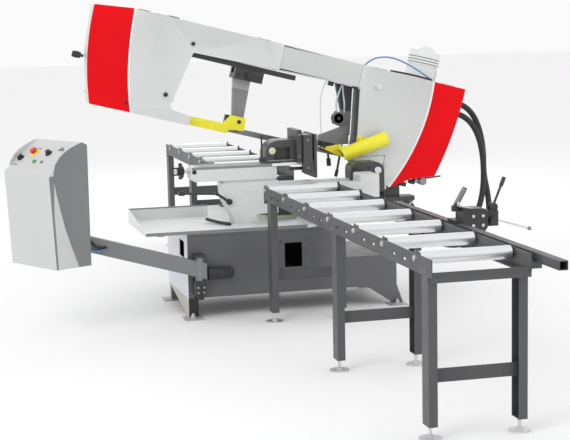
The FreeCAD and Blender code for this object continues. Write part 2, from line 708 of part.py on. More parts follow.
def wheel(x, name, bore):
    """A band wheel: rim, web with five windows, hub and a back flange."""
    y = s.blade_y - s.wheel_wide * 0.5
    rim = ring((x, y, s.wheel_z), (0, 1, 0), s.wheel_wide, s.wheel_r, s.wheel_r - 18)
    flange = ring((x, y + s.wheel_wide + 0.5, s.wheel_z), (0, 1, 0), 4, s.wheel_r + 5, s.wheel_r - 18)
    step = ring((x, y + 20, s.wheel_z), (0, 1, 0), 18, s.wheel_r - 4, s.wheel_r - 18)
    web = rod((x, y + 12, s.wheel_z), (0, 1, 0), 10, s.wheel_r - 17)
    windows = []
    for k in range(5):
        turn = 2 * math.pi * (k + 0.5) / 5
        wx = x + 130 * math.cos(turn)
        wz = s.wheel_z + 130 * math.sin(turn)
        windows.append(rod((wx, y + 5, wz), (0, 1, 0), 30, 45))
    hub = rod((x, y, s.wheel_z), (0, 1, 0), s.wheel_wide, 50)
    solid = cut(fuse(rim, flange, step, web), *windows)
    on_bow(name, cut(fuse(solid, hub), rod((x, y - 5, s.wheel_z), (0, 1, 0), 60, bore)))


def band_section(x, turn):
    """The band's cross-section across X, turned from flat on the wheel to upright in the cut."""
    wide = s.band_wide.value / 2
    thick = s.band_thick.value / 2
    centre = FreeCAD.Vector(x, s.blade_y.value, s.wheel_z.value - s.wheel_r.value - 0.3 - thick)
    across = FreeCAD.Vector(0, math.cos(turn), math.sin(turn))
    through = FreeCAD.Vector(0, -math.sin(turn), math.cos(turn))
    corners = [
        centre + across * (a * wide) + through * (b * thick)
        for a, b in ((-1, -1), (1, -1), (1, 1), (-1, 1))
    ]
    return Part.makePolygon(corners + corners[:1])


def blade():
    """The endless band round both wheels; its lower run turns upright between the guides."""
    y = s.blade_y.value - s.band_wide.value / 2
    inner = s.wheel_r.value + 0.3
    outer = inner + s.band_thick.value
    z = s.wheel_z.value
    wide = s.band_wide.value
    left = s.idler_x.value
    right = s.drive_x.value
    pieces = []
    for x, sign in ((left, -1), (right, 1)):
        tube = Part.makeCylinder(outer, wide, FreeCAD.Vector(x, y, z), Y)
        tube = tube.cut(Part.makeCylinder(inner, wide, FreeCAD.Vector(x, y, z), Y))
        corner = FreeCAD.Vector(x - (outer + 5 if sign < 0 else 0), y - 1, z - outer - 5)
        half = Part.makeBox(outer + 5, wide + 2, 2 * outer + 10, corner)
        pieces.append(tube.common(half))
    pieces.append(Part.makeBox(right - left, wide, outer - inner, FreeCAD.Vector(left, y, z + inner)))
    run_in = 60
    twists = ((left + run_in, -520, 0, 1), (340, right - run_in, 1, 0))
    for x0, x1 in ((left, left + run_in), (right - run_in, right)):
        pieces.append(Part.makeLoft([band_section(x0, 0), band_section(x1, 0)], True, True))
    steps = 6
    for x0, x1, t0, t1 in twists:
        places = [x0 + (x1 - x0) * k / steps for k in range(steps + 1)]
        turns = [math.pi / 2 * (t0 + (t1 - t0) * k / steps) for k in range(steps + 1)]
        for k in range(steps):
            sections = [band_section(places[k], turns[k]), band_section(places[k + 1], turns[k + 1])]
            pieces.append(Part.makeLoft(sections, True, True))
    pieces.append(Part.makeLoft([band_section(-520, math.pi / 2), band_section(340, math.pi / 2)],
                                True, True))
    on_bow("blade", shaped(pieces[0].multiFuse(pieces[1:])))


def drive():
    """Gearbox and motor behind the drive wheel, and the blade tension slide with its handle."""
    back = s.cover_back
    case = prism("XZ", [(690, 960, 20), (850, 960, 20), (850, 1130, 20), (690, 1130, 20)],
                 back + 0.3, 280)
    shaft = rod((s.drive_x, s.blade_y - 30, s.wheel_z), (0, 1, 0), 80, s.axle_r)
    nose = rod((s.drive_x, 128, s.wheel_z), (0, 1, 0), 20, s.axle_r + 4)
    neck = box((800, 200, 1100), (900, 279, 1150))
    on_bow("gearbox", fuse(case, shaft, nose, neck))
    mx = s.motor_x
    my = s.motor_y
    can = rod((mx, my, 1150), (0, 0, 1), 330, 95)
    foot = rod((mx, my, 1135), (0, 0, 1), 16, 103)
    cowl = rod((mx, my, 1470), (0, 0, 1), 90, 100)
    dome = ball((mx, my, 1505), 90)
    terminal = box((mx - 115, 180, 1250), (mx - 45, 280, 1400))
    seat = box((700, 136, 1100), (901, 280, 1150.3))
    on_bow("motor", cut(fuse(can, foot, cowl, dome, terminal), seat))
    x = s.idler_x
    slide = box((x - 90, 113.5, 995), (x + 90, 129.5, 1095))
    guide = box((x - 44, 129, 1016), (x + 44, 150, 1074))
    plate = box((x - 90, 136.3, 985), (x + 90, 150, 1105))
    axle = rod((x, s.blade_y - 30, s.wheel_z), (0, 1, 0), 60, s.axle_r)
    block = box((x - 96, 113.5, 1025), (x - 60, 129.5, 1065))
    solid = fuse(slide, guide, plate, axle, block)
    on_bow("tension_slide", solid)
    shaft = rod((-1375, 96, s.wheel_z), (1, 0, 0), 60, 9)
    bell = rod((-1372, 96, s.wheel_z), (1, 0, 0), 30, 16)
    stick = bar((-1362, 96, s.wheel_z), (-1372, 30, s.wheel_z), 6)
    on_bow("tension_handle", fuse(shaft, bell, stick, rod((-1392, 30, s.wheel_z), (1, 0, 0), 50, 18)))


def guides():
    """Guide arm, blade guides with their rollers' blocks, and the two yellow guards."""
    clamp = cut(
        box((-407, -4, 1118), (-227, 130, 1184.7)),
        box((-420, 40, 1150), (-200, 100, 1190)),
    )
    arm_outline = [(-388, 1119), (-276, 1119), (-267, 890), (-341, 890)]
    arm = fuse(clamp, prism("XZ", arm_outline, 100, 130))
    on_bow("guide_arm", arm)
    jaw = box((-382, 97, 838), (-253, 130, 890))
    block = fuse(jaw, box((-360, 93, 800), (-280, 103, 845)), box((-360, 75, 835), (-280, 104, 862)),
                 box((-350, 70, 800), (-290, 85.7, 840)))
    slit = box((-400, 88.8, 780), (-200, 91.2, 831))
    on_bow("left_guide", cut(block, slit))
    guard = [(-602, 778, 8), (-354, 778, 8), (-354, 834, 8), (-602, 834, 8)]
    shell = cut(
        fuse(prism("XZ", guard, 60, 82), box((-382, 60, 833), (-362, 97, 850))),
        box((-380, 76, 700), (-340, 84, 833)),
    )
    on_bow("left_blade_guard", shell)
    plate = [(262, 1231), (376, 1231), (430, 930), (400, 930)]
    right = fuse(
        prism("XZ", plate, 100, 129),
        prism("XZ", [(238, 822), (229, 890), (404, 997), (434, 876)], 95, 125),
        rod((322, 60, 1019), (0, 1, 0), 40, 35),
        rod((322, 95, 1019), (0, 1, 0), 10, 38),
        prism("XZ", [(300, 980), (424, 960), (408, 1060), (300, 1060)], 100, 115),
        box((255, 75, 822), (335, 96, 852)),
        box((255, 75, 800), (335, 86, 823)),
        box((255, 94, 800), (335, 104, 850)),
        bar((392, 105, 890), (402, 105, 700), 7),
        bar((402, 105, 700), (402, 105, 657), 11),
        bar((300, 110, 850), (330, 110, 760), 7),
        bar((330, 110, 760), (345, 110, 715), 14),
    )
    on_bow("right_guide", right)
    # The big guard is a half tube along a sloping axis, open to the back.
    start = FreeCAD.Vector(358, -58, 800)
    end = FreeCAD.Vector(618, -58, 966)
    along = (end - start).normalize()
    length = (end - start).Length
    tube = ring(tuple(start), tuple(along), length, 45, 42)
    trim = fuse(box((200, -57, 600), (800, 60, 1200)), box((200, -120, 700), (440, 60, 779)))
    cap = cut(rod(tuple(end - along * 3), tuple(along), 3, 43), box((200, -57, 600), (800, 60, 1200)))
    bracket = box((445, -62, 905), (478, s.door_front, 925))
    plate = box((445, -16, 890), (505, s.door_front, 940))
    small = prism("XZ", [(224, 818), (352, 867), (370, 790)], -20, -12)
    hold = box((328, -62, 830), (352, -12, 852))
    on_bow("right_blade_guard", fuse(cut(tube, trim), cap, bracket, plate, small, hold))


GLAND_FACE = 1074
UPPER_GLAND_Z = 1290
LOWER_GLAND_Z = 1220


def leaving(y, level_z, reach):
    """The first two points of a hose: at its gland on the raised bow, then straight out."""
    start = RAISED.multVec(FreeCAD.Vector(GLAND_FACE, y, level_z))
    ahead = RAISED.multVec(FreeCAD.Vector(GLAND_FACE + reach, y, level_z))
    return [tuple(start), tuple(ahead)]


upper_route = leaving(250, UPPER_GLAND_Z, 100) + [
    (1375, 250, 1110), (1425, 250, 1000),
    (1450, 250, 860), (1450, 250, 710), (1478, 250, 590), (1492, 250, 470), (1465, 250, 355),
    (1380, 250, 270), (1260, 250, 240), (1130, 250, 265), (1020, 250, 340), (945, 250, 445),
    (905, 250, 545),
]
lower_route = leaving(200, LOWER_GLAND_Z, 92) + [
    (1340, 200, 1060), (1392, 200, 975),
    (1422, 200, 860), (1432, 200, 730), (1425, 200, 600), (1395, 200, 480), (1325, 200, 385),
    (1220, 200, 335), (1105, 200, 345), (1010, 200, 410), (945, 200, 500), (912, 200, 555),
]


def hose(label, route):
    """A tube along straight runs joined by tangent arcs."""
    points = [FreeCAD.Vector(*p) for p in route]
    edges = []
    start = points[0]
    radii = []
    for i in range(1, len(points) - 1):
        here = points[i]
        back = points[i - 1] - here
        ahead = points[i + 1] - here
        shorter = min(back.Length, ahead.Length)
        turn = math.pi - back.getAngle(ahead)
        radius = 0.45 * shorter / math.tan(turn / 2)
        reach = 0.45 * shorter
        back.normalize()
        ahead.normalize()
        first = here + back * reach
        last = here + ahead * reach
        middle = here + (back + ahead).normalize() * (radius / math.cos(turn / 2) - radius)
        edges.append(Part.LineSegment(start, first).toShape())
        edges.append(Part.Arc(first, middle, last).toShape())
        radii.append(round(radius))
        start = last
    edges.append(Part.LineSegment(start, points[-1]).toShape())
    path = Part.Wire(edges)
    circle = Part.makeCircle(s.hose_r.value, points[0], points[1] - points[0])
    tube = path.makePipeShell([Part.Wire([circle])], True, False)
    expected = math.pi * s.hose_r.value ** 2 * path.Length
    print(label, "length", round(path.Length), "radii", radii, "volume ratio",
          round(tube.Volume / expected, 4))
    node(label, shaped(tube))


def console():
    """The console on its arm. Its own frame starts at the front corner, u along the cheek."""
    corner = FreeCAD.Vector(-1473, -672, 0)
    placement = FreeCAD.Placement(corner, FreeCAD.Rotation(Z, s.console_yaw.value))
    low = s.console_low
    side = [(0, low), (237, low), (237, 1078), (202, 1102, 8), (-30, 933.2, 8)]
    wide = s.console_wide
    wall = s.console_wall
    normal = (-0.5884, 0, 0.8086)
    controls = [
        ("emergency_stop", 321, 108, 8, 4), ("selector_switch", 395, 64, 8, 0),
        ("speed_knob", 186, 110, 8, 0), ("push_button", 241, 49, 6, 3),
    ]
    seats = []
    for name, w, u, stem, travel in controls:
        z = 955 + u * 147 / 202
        seats.append((name, w, u, z, stem))
    shell = cut(
        prism("XZ", side, 0, wide),
        prism("XZ", inset(side, wall.value), wall, wide - wall),
        *[rod((u - normal[0] * 20, w, z - normal[2] * 20), normal, 40, stem + 0.05)
          for name, w, u, z, stem in seats],
    )
    axis = placement.inverse().multVec(FreeCAD.Vector(s.arm_end.value, s.arm_y.value, 0))
    axis_u = axis.x
    axis_w = axis.y
    ears = []
    for z in (420, 600.3):
        ears.append(box((230, axis_w - 25, z), (290, axis_w + 25, z + 17)))
    pin = rod((axis_u, axis_w, 420), (0, 0, 1), 197, 12)
    node("console_box", fuse(shell, *ears, pin), placement=placement)
    for name, w, u, z, stem in seats:
        def point(height):
            return (u + normal[0] * height, w, z + normal[2] * height)
        pieces = [rod(point(-14), normal, 22, stem)]
        if name == "emergency_stop":
            pieces.append(rod(point(12), normal, 12, 20))
            pieces.append(rod(point(7), normal, 6, 15))
        elif name == "selector_switch":
            pieces.append(rod(point(1), normal, 9, 17))
            pieces.append(cut(rod(point(9), normal, 12, 16),
                              *[box((0, w + a, 900), (300, w + b, 1200)) for a, b in ((-20, -5), (5, 20))]))
        elif name == "speed_knob":
            pieces.append(rod(point(1), normal, 6, 18))
            pieces.append(rod(point(6), normal, 16, 14))
        else:
            pieces.append(rod(point(4), normal, 8, 10))
        node(name, fuse(*pieces), placement=placement)
    slope = 0.2952
    half = s.arm_deep * 0.5
    mid = -527
    ends = []
    for x in (-560, -1338):
        ends.append((x, 280 + slope * (mid - x)))
    outline = [
        (ends[0][0], ends[0][1] - 47), (ends[0][0], ends[0][1] + 47),
        (ends[1][0], ends[1][1] + 47), (ends[1][0], ends[1][1] - 47),
    ]
    y = s.arm_y
    beam = prism("XZ", outline, y - s.arm_wide * 0.5, y + s.arm_wide * 0.5)
    hub = rod((s.arm_x, y, 235), (0, 0, 1), 140, 26)
    post = rod((s.arm_end, y, 437.3), (0, 0, 1), 162.7, 24)
    solid = cut(
        fuse(beam, hub, post),
        rod((s.arm_x, y, 200), (0, 0, 1), 200, 12 + 0.05),
        rod((s.arm_end, y, 400), (0, 0, 1), 250, 12 + 0.05),
    )
    node("console_arm", solid)


base()
tray()
bed()
tables()
length_stop()
swivel()
feed()
bow()
wheel(s.idler_x, "idler_wheel", s.axle_r + s.running)
wheel(s.drive_x, "drive_wheel", s.axle_r + s.running)
blade()
drive()
guides()
hose("upper_hose", upper_route)
hose("lower_hose", lower_route)
console()

doc.recompute()
problems = []
for item in doc.Objects:
    if "Invalid" in item.State or "Error" in item.State:
        problems.append(f"{item.Name} {item.State}")
for label, item in nodes.items():
    if item.Shape.isNull() or not item.Shape.isValid() or not item.Shape.Solids:
        problems.append(f"{label} has no valid shape")
if problems:
    raise RuntimeError("; ".join(problems))
os.makedirs("parts", exist_ok=True)
for label, item in nodes.items():
    item.Shape.exportStep(f"parts/{label}.step")
    print(label, len(item.Shape.Solids), "solids", round(item.Shape.Volume / 1000), "cm3")
print(len(nodes), "pieces")
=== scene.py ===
import bmesh
import bpy
import json
import math
from mathutils import Matrix, Vector


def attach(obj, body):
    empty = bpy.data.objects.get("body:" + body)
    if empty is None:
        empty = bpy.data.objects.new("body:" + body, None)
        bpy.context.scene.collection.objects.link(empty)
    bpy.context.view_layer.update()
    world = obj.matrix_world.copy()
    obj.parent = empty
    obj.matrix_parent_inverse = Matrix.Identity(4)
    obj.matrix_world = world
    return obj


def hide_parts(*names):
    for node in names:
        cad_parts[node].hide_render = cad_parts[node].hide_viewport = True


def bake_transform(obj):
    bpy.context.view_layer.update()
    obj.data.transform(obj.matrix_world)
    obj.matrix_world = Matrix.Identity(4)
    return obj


# Looks of the horizontal band saw. Metres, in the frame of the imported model.
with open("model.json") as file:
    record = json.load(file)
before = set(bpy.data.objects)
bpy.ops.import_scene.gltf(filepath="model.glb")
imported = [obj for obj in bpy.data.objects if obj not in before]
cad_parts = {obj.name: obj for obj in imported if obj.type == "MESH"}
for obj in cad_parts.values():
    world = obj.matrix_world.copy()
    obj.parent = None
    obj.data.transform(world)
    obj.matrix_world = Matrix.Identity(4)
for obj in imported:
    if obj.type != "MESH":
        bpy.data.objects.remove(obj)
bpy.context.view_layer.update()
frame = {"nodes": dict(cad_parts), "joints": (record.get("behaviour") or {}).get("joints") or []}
nodes = frame["nodes"]
joints = {j["name"]: j for j in frame["joints"]}


def joint_place(name):
    """A point on a joint's axis, at rest."""
    return Vector(joints[name]["pos_m"])


# The bow is drawn level and raised about its hinge.
HINGE = joint_place("bow_lift")
HINGE.y = 0
RAISE_ANGLE = math.radians(14.4)
RAISE = Matrix.Translation(HINGE) @ Matrix.Rotation(RAISE_ANGLE, 4, "Y") @ Matrix.Translation(-HINGE)

# The console box stands turned on its arm, and its panel slopes up from the operator's edge.
CONSOLE_PLACE = (-1.473, -0.672, 0)
CONSOLE_TURN = math.radians(29.05)
PANEL_FOOT = 0.955
PANEL_RISE = 0.147
PANEL_RUN = 0.202
PANEL_SLOPE = math.atan2(PANEL_RISE, PANEL_RUN)
CONSOLE = Matrix.Translation(CONSOLE_PLACE) @ Matrix.Rotation(CONSOLE_TURN, 4, "Z")
PANEL = CONSOLE @ Matrix.Translation((0, 0, PANEL_FOOT)) @ Matrix.Rotation(-PANEL_SLOPE, 4, "Y")

# Directions in which plates, bolt heads and knobs stand out, before any turn.
FRONT = (0, -1, 0)
BACK = (0, 1, 0)
RIGHT = (1, 0, 0)
UP = (0, 0, 1)

# Faces that the dressing pieces stand on. Those of the bow are given before it is raised.
CABINET_FRONT = -0.310
CABINET_BACK = 0.310
BED_FRONT = -0.200
DOOR_FACE = -0.010
GLAND_FACE = 1.074
BOW_BACK = 0.136
GEARBOX_BACK = 0.280
BEAM_FOOT = 1.236

scene = bpy.context.scene


# ---------------------------------------------------------------- camera, light and floor
def camera():
    """A long lens standing left of the outfeed table, looking slightly down."""
    yaw, pitch, roll = 0.2612, 0.1396, -0.020
    forward = Vector((math.sin(yaw) * math.cos(pitch), math.cos(yaw) * math.cos(pitch),
                      -math.sin(pitch)))
    right = Vector((math.cos(yaw), -math.sin(yaw), 0))
    up = right.cross(forward)
    side = math.cos(roll) * right + math.sin(roll) * up
    top = -math.sin(roll) * right + math.cos(roll) * up
    data = bpy.data.cameras.new("camera")
    data.lens = 97.8
    data.sensor_width = 36
    data.clip_end = 200
    obj = bpy.data.objects.new("camera", data)
    scene.collection.objects.link(obj)
    turn = Matrix((side, top, -forward)).transposed().to_4x4()
    eye = (-2.4354, -9.2021, 1.8524)
    obj.matrix_world = Matrix.Translation(eye) @ turn
    scene.camera = obj


def area_light(name, place, target, size, power):
    data = bpy.data.lights.new(name, "AREA")
    data.shape = "SQUARE"
    data.size = size
    data.energy = power
    obj = bpy.data.objects.new(name, data)
    scene.collection.objects.link(obj)
    obj.location = place
    obj.rotation_euler = (Vector(target) - Vector(place)).to_track_quat("-Z", "Y").to_euler()


def surroundings():
    """A pale floor, a white sky and three large soft lights."""
    world = bpy.data.worlds.new("studio")
    world.use_nodes = True
    back = world.node_tree.nodes["Background"]
    back.inputs["Color"].default_value = (1, 1, 1, 1)
    back.inputs["Strength"].default_value = 0.96
    scene.world = world
    scene.view_settings.view_transform = "Standard"
    middle = (0, -0.5, 0.6)
    area_light("key", (-5.5, -5.5, 6.0), middle, 4.0, 145)
    area_light("fill", (5.0, -6.0, 3.5), middle, 5.0, 30)
    area_light("back", (1.5, 6.5, 5.0), middle, 4.0, 60)
    mesh = bpy.data.meshes.new("floor")
    half = 40
    corners = [(-half, -half, 0), (half, -half, 0), (half, half, 0), (-half, half, 0)]
    mesh.from_pydata(corners, [], [(0, 1, 2, 3)])
    floor = bpy.data.objects.new("floor", mesh)
    scene.collection.objects.link(floor)
    mat = bpy.data.materials.new("floor")
    mat.use_nodes = True
    shader = mat.node_tree.nodes["Principled BSDF"]
    shader.inputs["Base Color"].default_value = (0.93, 0.93, 0.93, 1)
    shader.inputs["Roughness"].default_value = 0.9
    mesh.materials.append(mat)


# ---------------------------------------------------------------- materials
class Mat:
    """A node material under construction, with its own noises, ramps, mixes and bump."""

    def __init__(self, name, rough, metallic=0.0):
        self.mat = bpy.data.materials.new(name)
        self.mat.use_nodes = True
        self.tree = self.mat.node_tree
        self.shader = self.tree.nodes["Principled BSDF"]
        self.shader.inputs["Roughness"].default_value = rough
        self.shader.inputs["Metallic"].default_value = metallic
        self.coords = self.tree.nodes.new("ShaderNodeTexCoord")

    def noise(self, scale, detail=3.0, stretch=(1, 1, 1), rough=0.5):
        mapping = self.tree.nodes.new("ShaderNodeMapping")
        mapping.inputs["Scale"].default_value = stretch
        self.tree.links.new(self.coords.outputs["Object"], mapping.inputs["Vector"])
        node = self.tree.nodes.new("ShaderNodeTexNoise")
        node.inputs["Scale"].default_value = scale
        node.inputs["Detail"].default_value = detail
        node.inputs["Roughness"].default_value = rough
        self.tree.links.new(mapping.outputs["Vector"], node.inputs["Vector"])
        return node.outputs["Fac"]

    def ramp(self, factor, stops):
        node = self.tree.nodes.new("ShaderNodeValToRGB")
        ramp = node.color_ramp
        for i, (place, colour) in enumerate(stops):
            stop = ramp.elements[i] if i < 2 else ramp.elements.new(place)
            stop.position = place
            stop.color = (*colour, 1)
        self.tree.links.new(factor, node.inputs["Fac"])
        return node.outputs["Color"]

    def mix(self, factor, a, b, kind="MIX"):
        node = self.tree.nodes.new("ShaderNodeMix")
        node.data_type = "RGBA"
        node.blend_type = kind
        for value, socket in ((factor, 0), (a, 6), (b, 7)):
            if isinstance(value, (int, float)):
                node.inputs[socket].default_value = value
            elif isinstance(value, tuple):
                node.inputs[socket].default_value = (*value, 1)
            else:
                self.tree.links.new(value, node.inputs[socket])
        return node.outputs[2]

    def spread(self, factor, low, high):
        node = self.tree.nodes.new("ShaderNodeMapRange")
        node.inputs["From Min"].default_value = 0.3
        node.inputs["From Max"].default_value = 0.7
        node.inputs["To Min"].default_value = low
        node.inputs["To Max"].default_value = high
        self.tree.links.new(factor, node.inputs["Value"])
        return node.outputs["Result"]

    def colour(self, socket):
        self.tree.links.new(socket, self.shader.inputs["Base Color"])

    def roughness(self, socket):
        self.tree.links.new(socket, self.shader.inputs["Roughness"])

    def bump(self, factor, strength, distance):
        node = self.tree.nodes.new("ShaderNodeBump")
        node.inputs["Strength"].default_value = strength
        node.inputs["Distance"].default_value = distance
        self.tree.links.new(factor, node.inputs["Height"])
        self.tree.links.new(node.outputs["Normal"], self.shader.inputs["Normal"])


def shade(colour, factor):
    return tuple(min(1.0, c * factor) for c in colour)


def worn_edges(m, base, bare, amount):
    """Lets a lighter, rubbed colour show on edges that stand out."""
    geometry = m.tree.nodes.new("ShaderNodeNewGeometry")
    edge = m.tree.nodes.new("ShaderNodeMapRange")
    edge.inputs["From Min"].default_value = 0.53
    edge.inputs["From Max"].default_value = 0.62
    edge.inputs["To Max"].default_value = amount
    m.tree.links.new(geometry.outputs["Pointiness"], edge.inputs["Value"])
    return m.mix(edge.outputs["Result"], base, bare)


def zone(m, low, high, level):
    """One inside a box and zero outside it. A level box is raised with the bow."""
    vector = m.coords.outputs["Object"]
    if level:
        back = RAISE.inverted()
        turn = m.tree.nodes.new("ShaderNodeMapping")
        turn.inputs["Location"].default_value = back.to_translation()
        turn.inputs["Rotation"].default_value = back.to_euler()
        m.tree.links.new(vector, turn.inputs["Vector"])
        vector = turn.outputs["Vector"]
    split = m.tree.nodes.new("ShaderNodeSeparateXYZ")
    m.tree.links.new(vector, split.inputs["Vector"])
    result = None
    for axis, a, b in zip("XYZ", low, high):
        node = m.tree.nodes.new("ShaderNodeMath")
        node.operation = "COMPARE"
        node.inputs[1].default_value = (a + b) / 2
        node.inputs[2].default_value = (b - a) / 2
        m.tree.links.new(split.outputs[axis], node.inputs[0])
        if result is None:
            result = node.outputs[0]
            continue
        both = m.tree.nodes.new("ShaderNodeMath")
        both.operation = "MULTIPLY"
        m.tree.links.new(result, both.inputs[0])
        m.tree.links.new(node.outputs[0], both.inputs[1])
        result = both.outputs[0]
    return result


def paint(name, colour, rough=0.38, coat=0.15, grain=0.12, dust=0.06, zones=(), level=True,
          shine=0.5):
    """Powder-coated sheet: fine orange peel, faint clouds of dust and rubbed edges."""
    m = Mat(name, rough)
    dusty = [(0.3, shade(colour, 1 - dust)), (0.7, shade(colour, 1 + dust))]
    clouds = m.ramp(m.noise(3.5, 4), dusty)
    specks = m.ramp(m.noise(140, 2), [(0.46, shade(colour, 0.93)), (0.6, shade(colour, 1.03))])
    mixed = m.mix(0.3, clouds, specks)
    final = worn_edges(m, mixed, shade(colour, 1.5), 0.35)
    for low, high, other in zones:
        final = m.mix(zone(m, low, high, level), final, other)
    m.colour(final)
    m.roughness(m.spread(m.noise(11, 5), rough - 0.06, rough + 0.08))
    m.bump(m.noise(900, 2), grain, 0.0006)
    m.shader.inputs["Specular IOR Level"].default_value = shine
    m.shader.inputs["Coat Weight"].default_value = coat
    m.shader.inputs["Coat Roughness"].default_value = 0.25
    return m.mat


def metal(name, colour, rough, stretch, scale=60, spangle=0.0):
    """Bare or plated steel with brushing along one direction."""
    m = Mat(name, rough, 0.92)
    streaks = m.noise(scale, 6, stretch, 0.65)
    tone = m.ramp(streaks, [(0.3, shade(colour, 0.86)), (0.7, shade(colour, 1.08))])
    if spangle:
        cells = m.tree.nodes.new("ShaderNodeTexVoronoi")
        cells.inputs["Scale"].default_value = 90
        m.tree.links.new(m.coords.outputs["Object"], cells.inputs["Vector"])
        tone = m.mix(spangle, tone, cells.outputs["Color"], "SOFT_LIGHT")
    m.colour(tone)
    m.roughness(m.spread(m.noise(25, 4), rough - 0.07, rough + 0.09))
    m.bump(streaks, 0.12, 0.0004)
    return m.mat


def moulded(name, colour, rough=0.45, grain=0.2, scale=600):
    """Moulded plastic or rubber with a fine grain."""
    m = Mat(name, rough)
    tone = m.ramp(m.noise(18, 4), [(0.3, shade(colour, 0.85)), (0.72, shade(colour, 1.2))])
    m.colour(tone)
    m.roughness(m.spread(m.noise(40, 3), rough - 0.06, rough + 0.08))
    m.bump(m.noise(scale, 2), grain, 0.0005)
    return m.mat


light_grey = paint("light_grey_paint_look", (0.575, 0.595, 0.585))
cover_grey = paint("cover_grey_look", (0.58, 0.60, 0.59), 0.42, 0.1)
motor_white = paint("motor_white_look", (0.74, 0.75, 0.75), 0.4, 0.1)
tray_white = paint("tray_white_look", (0.72, 0.73, 0.73), 0.45, 0.05, dust=0.1)
console_grey = paint("console_grey_look", (0.50, 0.51, 0.505), 0.4)
# Dark grey for painted shade on the console's near cheek, the front panel's side face and the motor's
# vent slots, and for printed marks.
shade_and_mark_grey = paint("cheek_grey_look", (0.175, 0.18, 0.185), 0.45, 0.08)
dark_grey = paint("dark_grey_look", (0.066, 0.067, 0.070), 0.45, 0.06, dust=0.12)
arm_grey = paint("arm_grey_look", (0.20, 0.205, 0.21), 0.4, 0.1)
mid_grey = paint("mid_grey_look", (0.20, 0.20, 0.205), 0.4, 0.1)
NEAR_BLACK = (0.03, 0.03, 0.032)
SATIN = (0.42, 0.42, 0.44)
arm_look = paint("guide_arm_look", (0.21, 0.21, 0.215), 0.4, 0.1, zones=[
    ((-0.42, -0.02, 1.117), (-0.20, 0.15, 1.20), NEAR_BLACK),
    ((-0.42, 0.09, 1.060), (-0.20, 0.14, 1.117), SATIN),
])
right_guide_look = paint("right_guide_look", (0.20, 0.20, 0.205), 0.4, 0.1, zones=[
    ((0.20, 0.0, 0.60), (0.50, 0.2, 0.858), NEAR_BLACK),
    ((0.20, 0.0, 1.075), (0.50, 0.2, 1.30), (0.045, 0.045, 0.05)),
])
bow_look = paint("bow_frame_look", (0.575, 0.60, 0.585), 0.42, 0.1, zones=[
    ((-0.70, 0.015, 1.15), (-0.01, 0.115, 1.2165), NEAR_BLACK),
    # Painted shade: the shell's inner side wall left of the right cover lies in shadow and is painted
    # dark.
    ((0.36, 0.001, 0.70), (0.50, 0.14, 1.235), (0.06, 0.06, 0.065)),
])
# Painted light: the cabinet's left side face, lit by the lamp from the left, is painted pale.
LIT_SIDE_PAINT = (0.72, 0.75, 0.80)
cabinet_look = paint("cabinet_look", (0.105, 0.107, 0.112), 0.42, 0.12, dust=0.12, level=False,
                     zones=[((-0.70, -0.3095, 0.10), (-0.658, 0.32, 0.50), LIT_SIDE_PAINT),
                            ((-0.65, -0.40, 0.20), (-0.40, -0.3101, 0.40), NEAR_BLACK)])
legs_look = paint("legs_look", (0.105, 0.107, 0.112), 0.42, 0.12, dust=0.12, level=False, zones=[
    # Painted light: the legs' left side face, lit from the left, is painted lighter.
    ((-0.67, -0.3095, 0.009), (-0.6535, 0.32, 0.13), (0.52, 0.50, 0.42)),
    ((-0.66, -0.33, 0.009), (-0.59, -0.26, 0.13), (0.012, 0.012, 0.012)),
    ((-0.75, -0.45, -0.01), (0.75, 0.45, 0.0085), (0.40, 0.40, 0.40)),
])
red_paint = paint("red_paint_look", (0.70, 0.002, 0.006), 0.55, 0.0, 0.05, 0.05, shine=0.12)
white_paint = paint("white_paint_look", (0.82, 0.82, 0.82), 0.4)
yellow_paint = paint("yellow_paint_look", (0.84, 0.74, 0.02), 0.40, 0.3, dust=0.05)
black_paint = paint("black_paint_look", (0.022, 0.022, 0.024), 0.38, 0.15, dust=0.2)
jaw_black = paint("jaw_black_look", (0.050, 0.050, 0.053), 0.40, 0.15, dust=0.2)
slide_steel = metal("slide_steel_look", (0.62, 0.63, 0.64), 0.28, (1, 14, 14))
roller_steel = metal("roller_steel_look", (0.82, 0.83, 0.84), 0.36, (0.4, 9, 9), 90, 0.06)
zinc = metal("zinc_look", (0.70, 0.71, 0.72), 0.42, (1, 1, 1), 40, 0.25)
blade_steel = metal("blade_steel_look", (0.30, 0.30, 0.31), 0.38, (1, 20, 20), 120)
cast = metal("cast_look", (0.33, 0.33, 0.34), 0.55, (1, 1, 1), 220)
black_rubber = moulded("black_rubber_look", (0.02, 0.02, 0.021), 0.55, 0.35, 900)
black_plastic = moulded("black_plastic_look", (0.025, 0.025, 0.027), 0.42)
red_plastic = moulded("red_plastic_look", (0.72, 0.02, 0.02), 0.28, 0.05)
yellow_plastic = moulded("yellow_plastic_look", (0.85, 0.72, 0.03), 0.35, 0.08)
green_plastic = moulded("green_plastic_look", (0.06, 0.42, 0.12), 0.3, 0.05)
blue_plastic = moulded("blue_plastic_look", (0.10, 0.25, 0.50), 0.45)
clear_blue = moulded("clear_blue_look", (0.55, 0.68, 0.78), 0.3, 0.05)
pale_label = moulded("pale_label_look", (0.62, 0.66, 0.42), 0.5, 0.05)

